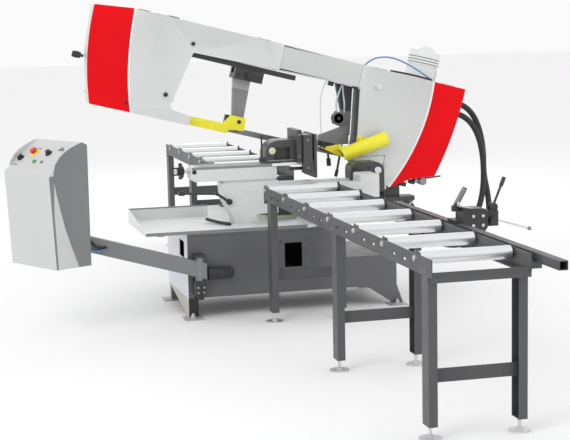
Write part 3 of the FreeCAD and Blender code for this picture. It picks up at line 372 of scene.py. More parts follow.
LOOKS = {
    cabinet_look: ["base_cabinet"],
    legs_look: ["base_legs"],
    arm_look: ["guide_arm"],
    right_guide_look: ["right_guide"],
    bow_look: ["bow_frame"],
    dark_grey: ["outfeed_rails", "infeed_rails", "table_leg_frames",
                "stop_rail", "swivel_carriage"],
    arm_grey: ["console_arm"],
    console_grey: ["console_box"],
    light_grey: ["bed_column", "bed_frame", "vise_beam"],
    motor_white: ["motor"],
    cover_grey: ["left_door", "right_door"],
    tray_white: ["chip_tray"],
    jaw_black: ["fixed_jaw", "moving_jaw"],
    black_paint: ["stop_carriage", "stop_lever", "mitre_lever", "left_guide", "coolant_pump"],
    roller_steel: [n for n in nodes if "_roller_" in n],
    zinc: ["levelling_feet", "roller_bolts", "vise_screw", "stop_rod", "swivel_ring"],
    slide_steel: ["feed_rod"],
    blade_steel: ["blade"],
    cast: ["idler_wheel", "drive_wheel", "gearbox", "tension_slide", "feed_cylinder"],
    yellow_paint: ["left_blade_guard", "right_blade_guard"],
    black_plastic: ["vise_handwheel", "tension_handle", "selector_switch", "speed_knob"],
    red_plastic: ["emergency_stop"],
    green_plastic: ["push_button"],
}
for look, names in LOOKS.items():
    for name in names:
        slots = nodes[name].data.materials
        if not slots:
            slots.append(look)
        for i in range(len(slots)):
            slots[i] = look


# ---------------------------------------------------------------- mesh helpers
def finish_mesh(name, bm, material, body, place=None, smooth=30, bevel=0.0):
    """Turn a bmesh into a piece, with rounded edges if it has a bevel, and let it ride."""
    if place is not None:
        bm.transform(place)
    bmesh.ops.recalc_face_normals(bm, faces=bm.faces)
    mesh = bpy.data.meshes.new(name)
    bm.to_mesh(mesh)
    bm.free()
    obj = bpy.data.objects.new(name, mesh)
    scene.collection.objects.link(obj)
    mesh.materials.append(material)
    if bevel:
        mod = obj.modifiers.new("edges", "BEVEL")
        mod.width = bevel
        mod.segments = 2
        mod.limit_method = "ANGLE"
        mod.angle_limit = math.radians(smooth)
        depsgraph = bpy.context.evaluated_depsgraph_get()
        rounded = bpy.data.meshes.new_from_object(obj.evaluated_get(depsgraph))
        obj.modifiers.clear()
        obj.data = rounded
        bpy.data.meshes.remove(mesh)
        mesh = rounded
        mesh.name = name
    mesh.shade_smooth()
    mesh.set_sharp_from_angle(angle=math.radians(smooth))
    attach(obj, body)


def add_box(bm, low, high, place=None):
    """One block, added to a mesh under construction."""
    x0, y0, z0 = low
    x1, y1, z1 = high
    corners = [Vector((x, y, z)) for z in (z0, z1) for y in (y0, y1) for x in (x0, x1)]
    if place is not None:
        corners = [place @ c for c in corners]
    v = [bm.verts.new(c) for c in corners]
    sides = ((0, 1, 3, 2), (4, 5, 7, 6), (0, 1, 5, 4), (2, 3, 7, 6), (0, 2, 6, 4), (1, 3, 7, 5))
    for side in sides:
        bm.faces.new([v[i] for i in side])


def add_prism(bm, outline, y0, y1):
    """A flat outline in X and Z given a thickness along Y."""
    front = [bm.verts.new((x, y0, z)) for x, z in outline]
    back = [bm.verts.new((x, y1, z)) for x, z in outline]
    bm.faces.new(front)
    bm.faces.new(back[::-1])
    count = len(outline)
    for i in range(count):
        k = (i + 1) % count
        bm.faces.new((front[i], back[i], back[k], front[k]))


def ring(bm, middle, across, other, radius, sides):
    """Vertices round a circle that two directions at right angles span."""
    row = []
    for k in range(sides):
        turn = 2 * math.pi * k / sides
        row.append(bm.verts.new(middle + radius * (math.cos(turn) * across + math.sin(turn) * other)))
    return row


def add_turned(bm, start, along, profile, sides=24):
    """A turned form: profile is a list of (distance along, radius)."""
    along = Vector(along).normalized()
    start = Vector(start)
    across = along.orthogonal().normalized()
    other = along.cross(across)
    rings = []
    for distance, radius in profile:
        middle = start + along * distance
        if radius <= 1e-6:
            rings.append([bm.verts.new(middle)])
        else:
            rings.append(ring(bm, middle, across, other, radius, sides))
    for a, b in zip(rings, rings[1:]):
        for k in range(sides):
            n = (k + 1) % sides
            if len(a) == 1 and len(b) > 1:
                bm.faces.new((a[0], b[k], b[n]))
            elif len(b) == 1 and len(a) > 1:
                bm.faces.new((a[k], a[n], b[0]))
            elif len(a) > 1:
                bm.faces.new((a[k], a[n], b[n], b[k]))
    for row in (rings[0], rings[-1]):
        if len(row) > 1:
            bm.faces.new(row)


def boxes(name, blocks, material, body, place=None, bevel=0.001):
    """Several blocks as one piece; each is its low and high corner."""
    bm = bmesh.new()
    for low, high in blocks:
        add_box(bm, low, high)
    finish_mesh(name, bm, material, body, place, bevel=bevel)


def prism(name, outline, y0, y1, material, body, place):
    """A flat outline with a thickness as one piece."""
    bm = bmesh.new()
    add_prism(bm, outline, y0, y1)
    finish_mesh(name, bm, material, body, place)


def turned(name, items, material, body, place=None, sides=24, smooth=35):
    """Several turned forms as one piece; each item is start, direction and profile."""
    bm = bmesh.new()
    for start, along, profile in items:
        add_turned(bm, start, along, profile, sides)
    finish_mesh(name, bm, material, body, place, smooth)


def screw(radius, high):
    """Profile of a round-headed screw with a socket."""
    return [(0, radius), (high * 0.7, radius), (high, radius * 0.8), (high, radius * 0.45),
            (high * 0.5, radius * 0.45), (high * 0.5, 0)]


def smooth_line(points):
    """Close points along the NURBS curve that a route's few points steer."""
    data = bpy.data.curves.new("line", "CURVE")
    data.dimensions = "3D"
    spline = data.splines.new("NURBS")
    spline.points.add(len(points) - 1)
    for point, place in zip(spline.points, points):
        point.co = (*place, 1)
    spline.order_u = 3
    spline.use_endpoint_u = True
    spline.resolution_u = 12
    obj = bpy.data.objects.new("line", data)
    scene.collection.objects.link(obj)
    mesh = bpy.data.meshes.new_from_object(obj)
    path = [v.co.copy() for v in mesh.vertices]
    bpy.data.objects.remove(obj)
    bpy.data.curves.remove(data)
    bpy.data.meshes.remove(mesh)
    return path


def tube_mesh(name, path, radius, material, sides=16):
    """A tube along a path, with a frame carried smoothly from point to point."""
    bm = bmesh.new()
    across = (path[1] - path[0]).orthogonal().normalized()
    rings = []
    for i, here in enumerate(path):
        ahead = path[min(i + 1, len(path) - 1)] - path[max(i - 1, 0)]
        ahead.normalize()
        across = (across - across.project(ahead)).normalized()
        rings.append(ring(bm, here, across, ahead.cross(across), radius, sides))
    for a, b in zip(rings, rings[1:]):
        for k in range(sides):
            n = (k + 1) % sides
            bm.faces.new((a[k], a[n], b[n], b[k]))
    bm.faces.new(rings[0][::-1])
    bm.faces.new(rings[-1])
    bmesh.ops.recalc_face_normals(bm, faces=bm.faces)
    mesh = bpy.data.meshes.new(name)
    bm.to_mesh(mesh)
    bm.free()
    mesh.shade_smooth()
    mesh.materials.append(material)
    obj = bpy.data.objects.new(name, mesh)
    scene.collection.objects.link(obj)
    return obj


def wire(name, points, radius, material, body, place=None):
    """A thin pipe or cable that its body holds all the way."""
    places = [place @ Vector(p) if place is not None else Vector(p) for p in points]
    obj = tube_mesh(name, smooth_line(places), radius, material, sides=10)
    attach(obj, body)


# ---------------------------------------------------------------- hoses
UPPER_GLAND = Vector((GLAND_FACE, 0.250, 1.290))
LOWER_GLAND = Vector((GLAND_FACE, 0.200, 1.220))
UPPER_END = (0.905, 0.545)
LOWER_END = (0.912, 0.555)


def hose(name, node, gland, reach, rest):
    """A hose from its gland on the bow straight out and round to the swivelling carriage.

    Its length is the length of its route, which starts at the gland of the raised bow.
    """
    route = [RAISE @ gland, RAISE @ (gland + Vector((reach, 0, 0)))]
    route += [Vector((x, gland.y, z)) for x, z in rest]
    path = smooth_line(route)
    diameter = 0.038
    obj = tube_mesh(name, path, diameter / 2, black_rubber)
    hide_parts(node)
    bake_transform(obj)


def hoses():
    hose("upper_hose_skin", "upper_hose", UPPER_GLAND, 0.100, [
        (1.375, 1.110), (1.425, 1.000), (1.450, 0.860), (1.450, 0.710), (1.478, 0.590),
        (1.492, 0.470), (1.465, 0.355), (1.380, 0.270), (1.260, 0.240), (1.130, 0.265),
        (1.020, 0.340), (0.945, 0.445), UPPER_END,
    ])
    hose("lower_hose_skin", "lower_hose", LOWER_GLAND, 0.092, [
        (1.340, 1.060), (1.392, 0.975), (1.422, 0.860), (1.432, 0.730), (1.425, 0.600),
        (1.395, 0.480), (1.325, 0.385), (1.220, 0.335), (1.105, 0.345), (1.010, 0.410),
        (0.945, 0.500), LOWER_END,
    ])


# ---------------------------------------------------------------- bow covers
def bow_curve(a, b, c):
    """Points of a parabola from a through b to c."""
    count = 14
    mid = (2 * b[0] - (a[0] + c[0]) / 2, 2 * b[1] - (a[1] + c[1]) / 2)
    points = []
    for k in range(count + 1):
        t = k / count
        x = (1 - t) ** 2 * a[0] + 2 * t * (1 - t) * mid[0] + t * t * c[0]
        z = (1 - t) ** 2 * a[1] + 2 * t * (1 - t) * mid[1] + t * t * c[1]
        points.append((x, z))
    return points


def edge_line(edge, wide):
    """The outline of a narrow band that runs beside a curved edge."""
    return edge + [(x + wide, z) for x, z in edge[::-1]]


def covers():
    """Red end caps with pale edge lines on the two doors, and the doors' locks."""
    cap_front = DOOR_FACE - 0.0025
    line_front = DOOR_FACE - 0.0018
    line_wide = 0.012
    left_edge = bow_curve((-1.092, 1.3875), (-1.060, 1.059), (-0.986, 0.7785))
    left_rim = bow_curve((-1.2365, 0.777), (-1.310, 1.068), (-1.330, 1.357))
    prism("left_red_cap", left_edge + left_rim, cap_front, DOOR_FACE, red_paint, "left_door",
          RAISE)
    prism("left_pale_line", edge_line(left_edge, line_wide), line_front, DOOR_FACE, white_paint,
          "left_door", RAISE)
    right_edge = bow_curve((0.865, 1.3755), (0.850, 1.020), (0.729, 0.6675))
    right_foot = [(0.853, 0.7465), (1.003, 0.796)]
    right_rim = bow_curve((1.006, 0.800), (1.060, 1.080), (1.077, 1.3745))
    prism("right_red_cap", right_edge + right_foot + right_rim, cap_front, DOOR_FACE, red_paint,
          "right_door", RAISE)
    prism("right_pale_line", edge_line(right_edge, -line_wide), line_front, DOOR_FACE, white_paint,
          "right_door", RAISE)
    turned("door_locks", [
        ((-0.798, DOOR_FACE, 0.928), FRONT, screw(0.013, 0.012)),
        ((-0.700, DOOR_FACE, 1.262), FRONT, screw(0.012, 0.010)),
        ((-1.020, DOOR_FACE, 0.830), FRONT, screw(0.010, 0.008)),
    ], black_plastic, "left_door", RAISE)
    lock = [(0, 0.026), (0.004, 0.026), (0.006, 0.024), (0.006, 0.017), (0.012, 0.016), (0.013, 0)]
    turned("right_door_locks", [
        ((0.508, DOOR_FACE, 1.268), FRONT, lock),
        ((0.667, DOOR_FACE, 0.799), FRONT, screw(0.014, 0.012)),
    ], zinc, "right_door", RAISE)


# ---------------------------------------------------------------- pieces that dress the parts
def disc(place, along, radius, high):
    """A turned item: a low round plate with a softened edge."""
    return (place, along, [(0, radius), (high * 0.6, radius), (high, radius * 0.9), (high, 0)])


def bolt(radius, high):
    """Profile of a plain bolt head."""
    return [(0, radius), (high, radius), (high, 0)]


def on_panel(across, along, radius, high):
    """A disc on the console's panel, placed by its level distance from the panel's low edge."""
    return disc((across / math.cos(PANEL_SLOPE), along, 0), UP, radius, high)


def console():
    """Cheeks with a curved top, the near one painted dark as painted shade, a strip of painted shade
    along the front panel's side face, bezels, lamps and marks, the back cover and the cables.
    """
    body = "console_box"
    back_face = 0.237
    width = 0.430
    cheek = [(0.155, 0.400), (0.104, 0.531), (0.072, 0.620), (0.043, 0.728), (0.020, 0.820),
             (0.004, 0.902), (0.006, 0.955), (0.016, 0.990), (0.045, 1.026), (0.080, 1.052),
             (0.121, 1.073), (0.160, 1.088), (0.202, 1.1015), (back_face, 1.085), (back_face, 0.400)]
    # The near cheek is painted dark grey as painted shade; the far cheek keeps the console's grey.
    prism("near_cheek", cheek, -0.0028, 0, shade_and_mark_grey, body, CONSOLE)
    prism("far_cheek", cheek, width, 0.4325, console_grey, body, CONSOLE)
    # A thin dark strip of painted shade for the shadowed side face of the front panel.
    edge_shade = [(0.0005, 0.402), (0.013, 0.402), (-0.002, 0.720), (0.0035, 0.860), (0.0035, 0.928),
            (-0.028, 0.925)]
    prism("console_edge_shade", edge_shade, -0.0008, 0, shade_and_mark_grey, body, CONSOLE)
    turned("stop_bezel", [on_panel(0.108, 0.321, 0.033, 0.004)], yellow_plastic, body,
           PANEL)
    rings = [on_panel(0.064, 0.395, 0.022, 0.003), on_panel(0.110, 0.186, 0.022, 0.003)]
    turned("control_rings", rings, black_plastic, body, PANEL)
    lamps = [on_panel(0.051, 0.175, 0.010, 0.006), on_panel(0.049, 0.241, 0.013, 0.003),
             on_panel(0.144, 0.107, 0.012, 0.007)]
    turned("panel_lamps", lamps, mid_grey, body, PANEL)
    mark_high = 0.0008
    marks = [((0.022, 0.375, 0), (0.030, 0.415, mark_high)),
             ((0.165, 0.080, 0), (0.175, 0.135, mark_high)),
             ((0.165, 0.290, 0), (0.172, 0.350, mark_high))]
    boxes("panel_marks", marks, shade_and_mark_grey, body, PANEL, 0)
    screws = [((back_face, w, z), RIGHT, screw(0.006, 0.003))
              for w in (0.020, 0.410) for z in (0.430, 0.740, 1.050)]
    turned("console_back_screws", screws, zinc, body, CONSOLE)
    back = [((back_face, 0.030, 0.640), (0.2385, 0.400, 1.030))]
    boxes("console_back_cover", back, light_grey, body, CONSOLE)
    body = "console_arm"
    cable = [(-1.290, -0.372, 0.560), (-1.262, -0.392, 0.535), (-1.233, -0.398, 0.500),
             (-1.205, -0.396, 0.470), (-1.165, -0.391, 0.468)]
    wire("console_cable", cable, 0.008, black_rubber, body)
    thin_wire = [(-1.255, -0.390, 0.470), (-1.225, -0.398, 0.452), (-1.185, -0.396, 0.452),
                 (-1.150, -0.389, 0.462)]
    wire("console_wire", thin_wire, 0.006, blue_plastic, body)
    gland = disc((-1.160, -0.385, 0.466), FRONT, 0.013, 0.010)
    turned("cable_glands", [gland], black_plastic, body)
    pivot = joint_place("console_arm_swing")
    cap = disc((pivot.x, pivot.y, 0.375), UP, 0.023, 0.0002)
    turned("arm_caps", [cap], mid_grey, body)


def base():
    """Domed damper, bracket with bolts, anchor nuts, seams, screws and the doors at the back."""
    dome = [(0, 0), (0, 0.0358), (0.128, 0.0358), (0.146, 0.031), (0.156, 0.019), (0.159, 0)]
    turned("damper", [((-0.549, -0.352, 0.270), RIGHT, dome)], black_plastic, "frame")
    bracket_front = -0.394
    bracket_back = CABINET_FRONT - 0.0005
    block = [((-0.634, bracket_front, 0.150), (-0.566, bracket_back, 0.2149)),
             ((-0.620, -0.380, 0.120), (-0.580, bracket_back, 0.1495))]
    boxes("arm_bracket", block, black_paint, "frame", bevel=0.004)
    bolts = [((x, bracket_front, z), FRONT, bolt(0.008, 0.006))
             for x in (-0.618, -0.582) for z in (0.167, 0.198)]
    turned("bracket_bolts", bolts, cast, "frame", sides=6)
    nut = [(0, 0.018), (0.003, 0.018), (0.003, 0.014), (0.014, 0.014), (0.014, 0.0085),
           (0.026, 0.0085), (0.026, 0)]
    nuts = [((x, y, 0.008), UP, nut) for x in (-0.64, 0.64) for y in (-0.33, 0.33)]
    turned("anchor_nuts", nuts, zinc, "frame", sides=6, smooth=20)
    seam_front = CABINET_FRONT - 0.0007
    seams = [((0.2650, seam_front, 0.125), (0.2665, CABINET_FRONT, 0.305)),
             ((-0.655, seam_front, 0.4895), (0.250, CABINET_FRONT, 0.4910))]
    boxes("cabinet_seams", seams, black_paint, "frame", bevel=0)
    head = screw(0.007, 0.004)
    screws = [((x, CABINET_FRONT, z), FRONT, head) for x in (-0.090, 0.070) for z in (0.262, 0.430)]
    screws += [((x, CABINET_BACK, z), BACK, head)
               for x in (-0.600, -0.200, 0.200) for z in (0.160, 0.440)]
    turned("cabinet_screws", screws, dark_grey, "frame")
    doors = [((x0, CABINET_BACK, 0.150), (x1, CABINET_BACK + 0.002, 0.455))
             for x0, x1 in ((-0.600, -0.030), (0.000, 0.240))]
    boxes("cabinet_back_doors", doors, dark_grey, "frame")


def tray():
    """Dark lips on the tray's long edges, a drain plug, a handle lying in it and a ring clamp."""
    lips = [((-0.904, -0.3118, 0.5055), (0.080, -0.3100, 0.5245)),
            ((-0.904, 0.3045, 0.5885), (-0.401, 0.3118, 0.5965))]
    boxes("tray_lips", lips, mid_grey, "frame", bevel=0)
    plug = [(0, 0.028), (0.004, 0.027), (0.005, 0.018), (0.009, 0.016), (0.010, 0)]
    turned("tray_plug", [((-0.430, 0.120, 0.525), UP, plug)], zinc, "frame")
    handle = [(-0.470, 0.010, 0.546), (-0.440, -0.060, 0.540), (-0.400, -0.130, 0.536),
              (-0.368, -0.180, 0.536)]
    wire("tray_clamp_handle", handle, 0.010, black_plastic, "frame")
    boxes("ring_clamp", [((0.130, -0.045, 0.526), (0.250, 0.035, 0.546))], black_paint, "frame")


def vise():
    """Dark strips on the vise beam, the jaws' plates, discs, pin and screws, and the handwheel."""
    beam_top = 0.890
    strips = [((-0.570, -0.199, beam_top), (-0.076, -0.1465, beam_top + 0.0006)),
              ((-0.570, -0.1135, beam_top), (-0.076, -0.061, beam_top + 0.0006)),
              ((-0.596, BED_FRONT - 0.0004, 0.873), (-0.076, BED_FRONT, 0.8890))]
    boxes("beam_top", strips, mid_grey, "frame", bevel=0)
    # Painted shade: a flat black disc on the bed's front face stands for the dark inside of a hole.
    hole = ((-0.582, BED_FRONT, 0.860), FRONT, bolt(0.014, 0.0006))
    turned("beam_hole_shade", [hole], black_plastic, "frame")
    screws = [((x, BED_FRONT, z), FRONT, screw(0.0055, 0.003))
              for x, z in ((-0.262, 0.728), (-0.222, 0.725), (-0.318, 0.782))]
    turned("column_screws", screws, zinc, "frame")
    moving_jaw()
    disc_place = (0.557, -0.236, 0.823)
    turned("fixed_jaw_disc", [disc(disc_place, FRONT, 0.022, 0.004)], zinc, "frame")
    screws = [((x, -0.230, z), FRONT, screw(0.008, 0.005))
              for x in (0.410, 0.500) for z in (0.72, 0.84)]
    turned("fixed_jaw_screws", screws, black_plastic, "frame")
    handwheel()


def moving_jaw():
    """Slide plate, wedge, round disc, pin, screws and rib of the moving jaw."""
    body = "moving_jaw"
    plate = [((-0.105, -0.2160, 0.8765), (0.0785, -0.2022, 0.8920))]
    boxes("jaw_slide_plate", plate, white_paint, body)
    wedge = [((0.000, -0.2140, 0.846), (0.0790, -0.2035, 0.866))]
    boxes("jaw_wedge", wedge, black_paint, body)
    button = disc((-0.100, BED_FRONT, 0.967), FRONT, 0.021, 0.003)
    turned("jaw_disc", [button], pale_label, body)
    pin = [(0, 0.0055), (0.115, 0.0055), (0.115, 0.008), (0.141, 0.008), (0.143, 0)]
    turned("jaw_pin", [((-0.163, -0.190, 0.925), UP, pin)], black_paint, body)
    block = [((-0.180, -0.199, 0.905), (-0.1432, -0.180, 0.930))]
    boxes("jaw_pin_block", block, black_paint, body)
    screws = [((0.0595, -0.240, z), FRONT, screw(0.007, 0.004)) for z in (0.93, 1.06)]
    screws += [((0.108, -0.260, z), FRONT, screw(0.008, 0.004)) for z in (0.86, 1.03)]
    turned("jaw_screws", screws, cast, body)
    rib = [((-0.130, -0.2035, 0.905), (0.040, BED_FRONT, 0.912))]
    boxes("jaw_rib", rib, mid_grey, body)


def handwheel():
    """Five lobes round the star handwheel, and two pegs on its face."""
    axis = joint_place("vise_screw_turn")
    count = 5
    reach = 0.038
    lobe = [(0, 0.010), (0.002, 0.0128), (0.018, 0.0128), (0.020, 0.010), (0.020, 0)]
    lobes = []
    for k in range(count):
        turn = 2 * math.pi * k / count
        place = (-0.661, axis.y + reach * math.cos(turn), axis.z + reach * math.sin(turn))
        lobes.append((place, RIGHT, lobe))
    turned("handwheel_lobes", lobes, black_plastic, "vise_screw")
    peg = [(0, 0), (0.001, 0.006), (0.012, 0.0075), (0.014, 0.005), (0.014, 0)]
    pegs = [((-0.714, axis.y, axis.z + dz), RIGHT, peg) for dz in (-0.020, 0.020)]
    turned("handwheel_pegs", pegs, black_plastic, "vise_screw")


def guides():
    """Shield, marks, knobs, screws and pipes of the two blade guides and the blade guard."""
    shield = [(-0.400, 0.834), (-0.362, 0.893), (-0.262, 0.893), (-0.255, 0.813), (-0.300, 0.809),
              (-0.352, 0.800), (-0.372, 0.790), (-0.400, 0.790)]
    shield_front = 0.0585
    prism("left_shield", shield, shield_front, 0.0600, yellow_paint, "guide_arm",
          RAISE)
    turned("left_shield_knob", [((-0.300, shield_front, 0.862), FRONT, screw(0.012, 0.008))],
           black_plastic, "guide_arm", RAISE)
    marks = [((x, 0.0596, 0.797), (x + 0.002, 0.0600, 0.809)) for x in (-0.55, -0.50, -0.44)]
    boxes("left_guard_marks", marks, shade_and_mark_grey, "guide_arm", RAISE, 0)
    clamp_front = -0.004
    knob = [(0, 0.010), (0.012, 0.010), (0.013, 0.020), (0.030, 0.021), (0.034, 0.017), (0.034, 0)]
    turned("arm_clamp_knob", [((-0.317, clamp_front, 1.150), FRONT, knob)], black_plastic,
           "guide_arm", RAISE)
    bolts = [((x, clamp_front, 1.145), FRONT, screw(0.007, 0.005)) for x in (-0.385, -0.250)]
    turned("arm_clamp_bolts", bolts, black_plastic, "guide_arm", RAISE)
    knob = [(0, 0.0365), (0.036, 0.0365), (0.0403, 0.032), (0.0403, 0.012), (0.046, 0.011),
            (0.046, 0)]
    turned("guide_knob", [((0.322, 0.1003, 1.019), FRONT, knob)], black_plastic, "bow",
           RAISE)
    bolts = [((x, 0.095, z), FRONT, screw(0.007, 0.005))
             for x, z in ((0.262, 0.862), (0.405, 0.940), (0.300, 0.900))]
    turned("guide_bolts", bolts, cast, "bow", RAISE)
    coolant_pipes()
    clip = [((0.205, 0.040, 1.205), (0.235, 0.080, BEAM_FOOT))]
    boxes("beam_clip", clip, black_plastic, "bow", RAISE, 0.003)
    turned("guard_screws", [((0.246, -0.0205, 0.826), FRONT, screw(0.008, 0.006))], black_plastic,
           "right_door", RAISE)
    guard_start = Vector((0.358, -0.058, 0.800))
    guard_end = Vector((0.618, -0.058, 0.966))
    along = (guard_end - guard_start).normalized()
    outward = Vector((-along.z, 0, along.x))
    place = guard_start + along * 0.285 + outward * 0.040
    turned("guard_tab_screw", [(place, outward, screw(0.007, 0.006))], zinc, "right_door",
           RAISE)


def coolant_pipes():
    """Three thin pipes from the foot of the bow's beam down to the right guide."""
    routes = (
        ("coolant_pipe", 0.0055, [(0.300, 0.075, BEAM_FOOT), (0.291, 0.075, 1.180),
                                  (0.286, 0.075, 1.120), (0.296, 0.078, 1.075),
                                  (0.312, 0.080, 1.052)]),
        ("coolant_pipe_2", 0.0055, [(0.306, 0.085, BEAM_FOOT), (0.318, 0.082, 1.180),
                                    (0.340, 0.080, 1.130), (0.352, 0.085, 1.085),
                                    (0.360, 0.095, 1.060)]),
        ("arm_pipe", 0.003, [(0.190, 0.060, BEAM_FOOT), (0.170, 0.062, 1.150),
                             (0.200, 0.070, 1.020), (0.245, 0.085, 0.885)]),
    )
    for name, radius, route in routes:
        wire(name, route, radius, clear_blue, "bow", RAISE)


def bow_dress():
    """Cables and latches on top of the bow, the chip brush below it and the screws at its back."""
    arc = [(0.412, 0.060, 1.380), (0.443, 0.060, 1.426), (0.528, 0.060, 1.461),
           (0.609, 0.062, 1.463), (0.688, 0.070, 1.449), (0.778, 0.080, 1.424),
           (0.867, 0.090, 1.392)]
    wire("bow_cable", arc, 0.0048, blue_plastic, "bow", RAISE)
    low = [(0.574, 0.030, 1.381), (0.660, 0.030, 1.386), (0.760, 0.040, 1.388),
           (0.870, 0.060, 1.386)]
    wire("bow_cable_2", low, 0.006, black_rubber, "bow", RAISE)
    latches = [((-1.060, 0.000, 1.3845), (-0.995, 0.040, 1.3930)),
               ((-0.886, 0.010, 1.3865), (-0.812, 0.050, 1.3960))]
    boxes("top_latches", latches, mid_grey, "bow", RAISE, 0.002)
    chip_brush()
    motor()
    screws = [((x, BOW_BACK, z), BACK, screw(0.008, 0.004))
              for x, z in ((-1.25, 0.84), (-0.72, 0.90), (-1.28, 1.30), (-0.60, 1.33),
                           (0.30, 1.34), (0.95, 1.34), (0.96, 0.85), (0.55, 0.80), (-0.10, 1.26))]
    turned("cover_back_screws", screws, zinc, "bow", RAISE)
    grip = [(0, 0), (0.001, 0.010), (0.006, 0.0175), (0.016, 0.0205), (0.036, 0.0205),
            (0.047, 0.0175), (0.053, 0.011), (0.053, 0)]
    turned("tension_grip", [((-1.3935, 0.030, 1.045), RIGHT, grip)], black_plastic,
           "tension_handle", RAISE)


def chip_brush():
    """Mount, round brush with its shaft, and the arm of the chip brush under the right cap."""
    mount = [((0.742, 0.020, 0.655), (0.800, 0.100, 0.690)),
             ((0.812, 0.030, 0.690), (0.850, 0.090, 0.718)),
             ((0.868, 0.020, 0.716), (0.900, 0.070, 0.738))]
    boxes("chip_brush_mount", mount, black_paint, "bow", RAISE, 0.004)
    brush = [(0, 0), (0, 0.018), (0.004, 0.024), (0.080, 0.024), (0.084, 0.018), (0.084, 0)]
    turned("chip_brush", [
        ((0.945, -0.002, 0.748), BACK, brush),
        ((0.905, 0.010, 0.742), BACK, bolt(0.013, 0.060)),
    ], cast, "bow", RAISE)
    arm = [(0.860, 0.030, 0.735), (0.940, 0.030, 0.762), (1.062, 0.030, 0.805)]
    wire("chip_brush_arm", arm, 0.005, black_paint, "bow", RAISE)


def motor():
    """Cooling fins, vents drawn as dark bands of painted shade, and the terminal box's lid on the
    motor, and the gearbox's bolts.
    """
    x, y, radius = 0.850, 0.240, 0.095
    places = 30
    bm = bmesh.new()
    for k in range(places):
        turn = 2 * math.pi * k / places
        at_bow = math.sin(turn) < -0.55
        at_terminal_box = math.cos(turn) < -0.75 and math.sin(turn) < 0.45
        if at_bow or at_terminal_box:
            continue
        place = RAISE @ Matrix.Translation((x, y, 0)) @ Matrix.Rotation(turn, 4, "Z")
        add_box(bm, (radius - 0.003, -0.002, 1.160), (radius + 0.006, 0.002, 1.455), place)
    finish_mesh("motor_fins", bm, light_grey, "bow")
    # Painted shade: three dark bands round the motor's top stand for its shaded vent slots.
    vents = [((x, y, 1.478 + 0.018 * k), UP, [(0, 0.1004), (0.006, 0.1004)]) for k in range(3)]
    turned("motor_vents", vents, shade_and_mark_grey, "bow", RAISE, 48)
    lid = [((x - 0.1195, 0.176, 1.258), (x - 0.115, 0.284, 1.392))]
    boxes("terminal_lid", lid, clear_blue, "bow", RAISE, 0.003)
    bolts = [((bolt_x, GEARBOX_BACK, z), BACK, bolt(0.011, 0.009))
             for bolt_x in (0.712, 0.828) for z in (0.982, 1.108)]
    turned("gearbox_bolts", bolts, zinc, "bow", RAISE, 6, 20)
    cover = [(0, 0.052), (0.006, 0.050), (0.006, 0.030), (0.010, 0.028), (0.010, 0)]
    turned("gearbox_cover", [((0.770, GEARBOX_BACK, 1.045), BACK, cover)], cast, "bow",
           RAISE)


def hose_ends():
    """Hexagon fittings at both ends of each hose."""
    gland_nut = [(0, 0.0275), (0.022, 0.0275), (0.026, 0.0235), (0.034, 0.0225), (0.034, 0)]
    lower_nut = [(0, 0.0225), (0.006, 0.0278), (0.026, 0.0278), (0.026, 0)]
    for name, gland in (("upper", UPPER_GLAND), ("lower", LOWER_GLAND)):
        start = gland - Vector((0.004, 0, 0))
        turned(name + "_gland", [(start, RIGHT, gland_nut)], zinc, "bow", RAISE,
               6, 20)
    ends = (("upper", UPPER_GLAND, UPPER_END, (-0.040, 0.100)),
            ("lower", LOWER_GLAND, LOWER_END, (-0.033, 0.055)))
    for name, gland, (end_x, end_z), (dx, dz) in ends:
        along = Vector((dx, 0, dz)).normalized()
        start = Vector((end_x, gland.y, end_z)) - along * 0.012
        turned(name + "_lower_gland", [(start, along, lower_nut)], zinc, "swivel",
               None, 6, 20)


def tables():
    """Bolt heads on the rails, the rollers' end rings, and screws where the legs meet the rails."""
    end_ring = [(0, 0.029), (0.0012, 0.028), (0.0012, 0.012), (0.006, 0.0115), (0.006, 0)]
    sides = (-1, 1)
    for table, count in (("outfeed", 7), ("infeed", 5)):
        rollers = [f"{table}_roller_{i}" for i in range(1, count + 1)]
        axes = [joint_place(roller + "_spin") for roller in rollers]
        heads = [((0.233 * side, axis.y, axis.z), (side, 0, 0), screw(0.0095, 0.004))
                 for axis in axes for side in sides]
        turned(table + "_bolt_heads", heads, zinc, "frame")
        for roller, axis in zip(rollers, axes):
            rings = [((0.2082 * side, axis.y, axis.z), (side, 0, 0), end_ring) for side in sides]
            turned(roller + "_ends", rings, zinc, roller)
    screws = [((0.2250 * side, y + dy, 0.728), (side, 0, 0), screw(0.008, 0.005))
              for y in (-0.58, -1.87, -3.18, 1.69, 2.54) for dy in (-0.018, 0.018)
              for side in sides]
    turned("leg_screws", screws, cast, "frame")


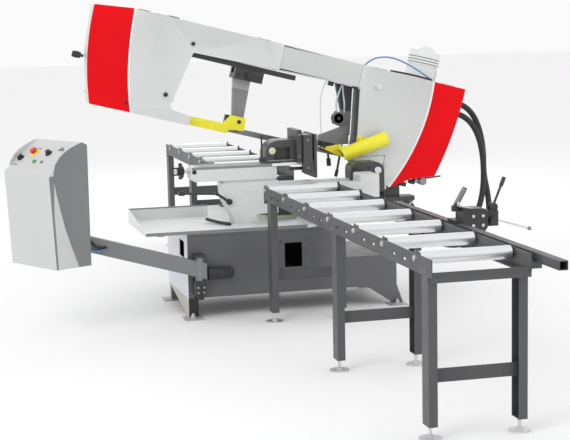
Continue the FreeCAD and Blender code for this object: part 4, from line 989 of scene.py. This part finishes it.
def stop():
    """Ribbed grip, wire hook, screws and clamp knob of the length stop, and its rod's end."""
    y = joint_place("stop_lever_turn").y
    grip = [(0, 0.0118)]
    for k in range(12):
        z = 0.002 + 0.0065 * k
        grip += [(z, 0.0138), (z + 0.0035, 0.0138), (z + 0.0045, 0.0122)]
    grip += [(0.082, 0.0125), (0.084, 0)]
    turned("stop_grip", [((0.279, y, 0.875), (0.55, 0, 0.94), grip)], cast, "stop_carriage")
    hook = [(0.284, y - 0.026, 0.885), (0.262, y - 0.026, 0.868), (0.320, y - 0.027, 0.856),
            (0.402, y - 0.030, 0.838)]
    wire("stop_hook", hook, 0.005, slide_steel, "stop_carriage")
    screws = [((x, y - 0.050, z), FRONT, screw(0.008, 0.006))
              for x in (0.345, 0.395) for z in (0.770, 0.815)]
    turned("stop_screws", screws, zinc, "stop_carriage")
    knob = [(0, 0.009), (0.012, 0.009), (0.014, 0.018), (0.030, 0.019), (0.034, 0.014), (0.034, 0)]
    turned("stop_clamp_knob", [((0.449, y - 0.030, 0.785), FRONT, knob)], black_plastic,
           "stop_carriage")
    rod_end = [(0, 0.0092), (0.012, 0.0092), (0.017, 0.006), (0.0175, 0)]
    along = joints["stop_rod_slide"]["axis"]
    turned("rod_end", [((0.6515, y, 0.7347), along, rod_end)], cast, "stop_rod")


def swivel():
    """Bolts and degree ring of the swivel, caps on the hinge pin, and grip of the mitre lever."""
    centre = joint_place("mitre_swivel")
    bolts = []
    for k in range(8):
        turn = math.radians(165 + 30 * k)
        place = (centre.x + 0.100 * math.cos(turn), centre.y + 0.100 * math.sin(turn), 0.6003)
        bolts.append((place, UP, screw(0.010, 0.008)))
    turned("swivel_bolts", bolts, zinc, "swivel")
    degree_ring = ((centre.x, centre.y, 0.531), UP, [(0, 0.1303), (0.014, 0.1303)])
    turned("degree_ring", [degree_ring], pale_label, "frame", None, 64)
    cap = [(0, 0.030), (0.006, 0.030), (0.009, 0.024), (0.009, 0)]
    caps = [((HINGE.x, 0.180, HINGE.z), FRONT, cap), ((HINGE.x, 0.340, HINGE.z), BACK, cap)]
    turned("pin_caps", caps, zinc, "swivel")
    feed_cylinder()
    grip = [(0, 0), (0.001, 0.010), (0.005, 0.0133), (0.034, 0.0133), (0.040, 0.009), (0.040, 0)]
    turned("lever_grip", [((-0.686, -0.214, 0.7388), (1, 0, -0.055), grip)], black_plastic,
           "mitre_lever")


def feed_cylinder():
    """Collar near the cylinder's foot, and the pipe that loops along its right side."""
    foot = joint_place("feed_cylinder_tilt")
    head = RAISE @ Vector((foot.x, foot.y, 1.000))
    along = (head - foot).normalized()
    collar = [(0, 0.0305), (0.004, 0.034), (0.022, 0.034), (0.026, 0.0305)]
    turned("cylinder_collars", [(foot + along * 0.034, along, collar)], black_paint,
           "feed_cylinder")
    radius = Vector((0.034, 0, 0))
    loop = ((0.075, 0.9), (0.085, 1.7), (0.150, 2.1), (0.215, 1.7), (0.225, 0.9))
    route = [foot + along * reach + radius * out for reach, out in loop]
    wire("cylinder_pipe", route, 0.006, black_rubber, "feed_cylinder")


camera()
surroundings()
hoses()
covers()
console()
base()
tray()
vise()
guides()
bow_dress()
hose_ends()
tables()
stop()
swivel()
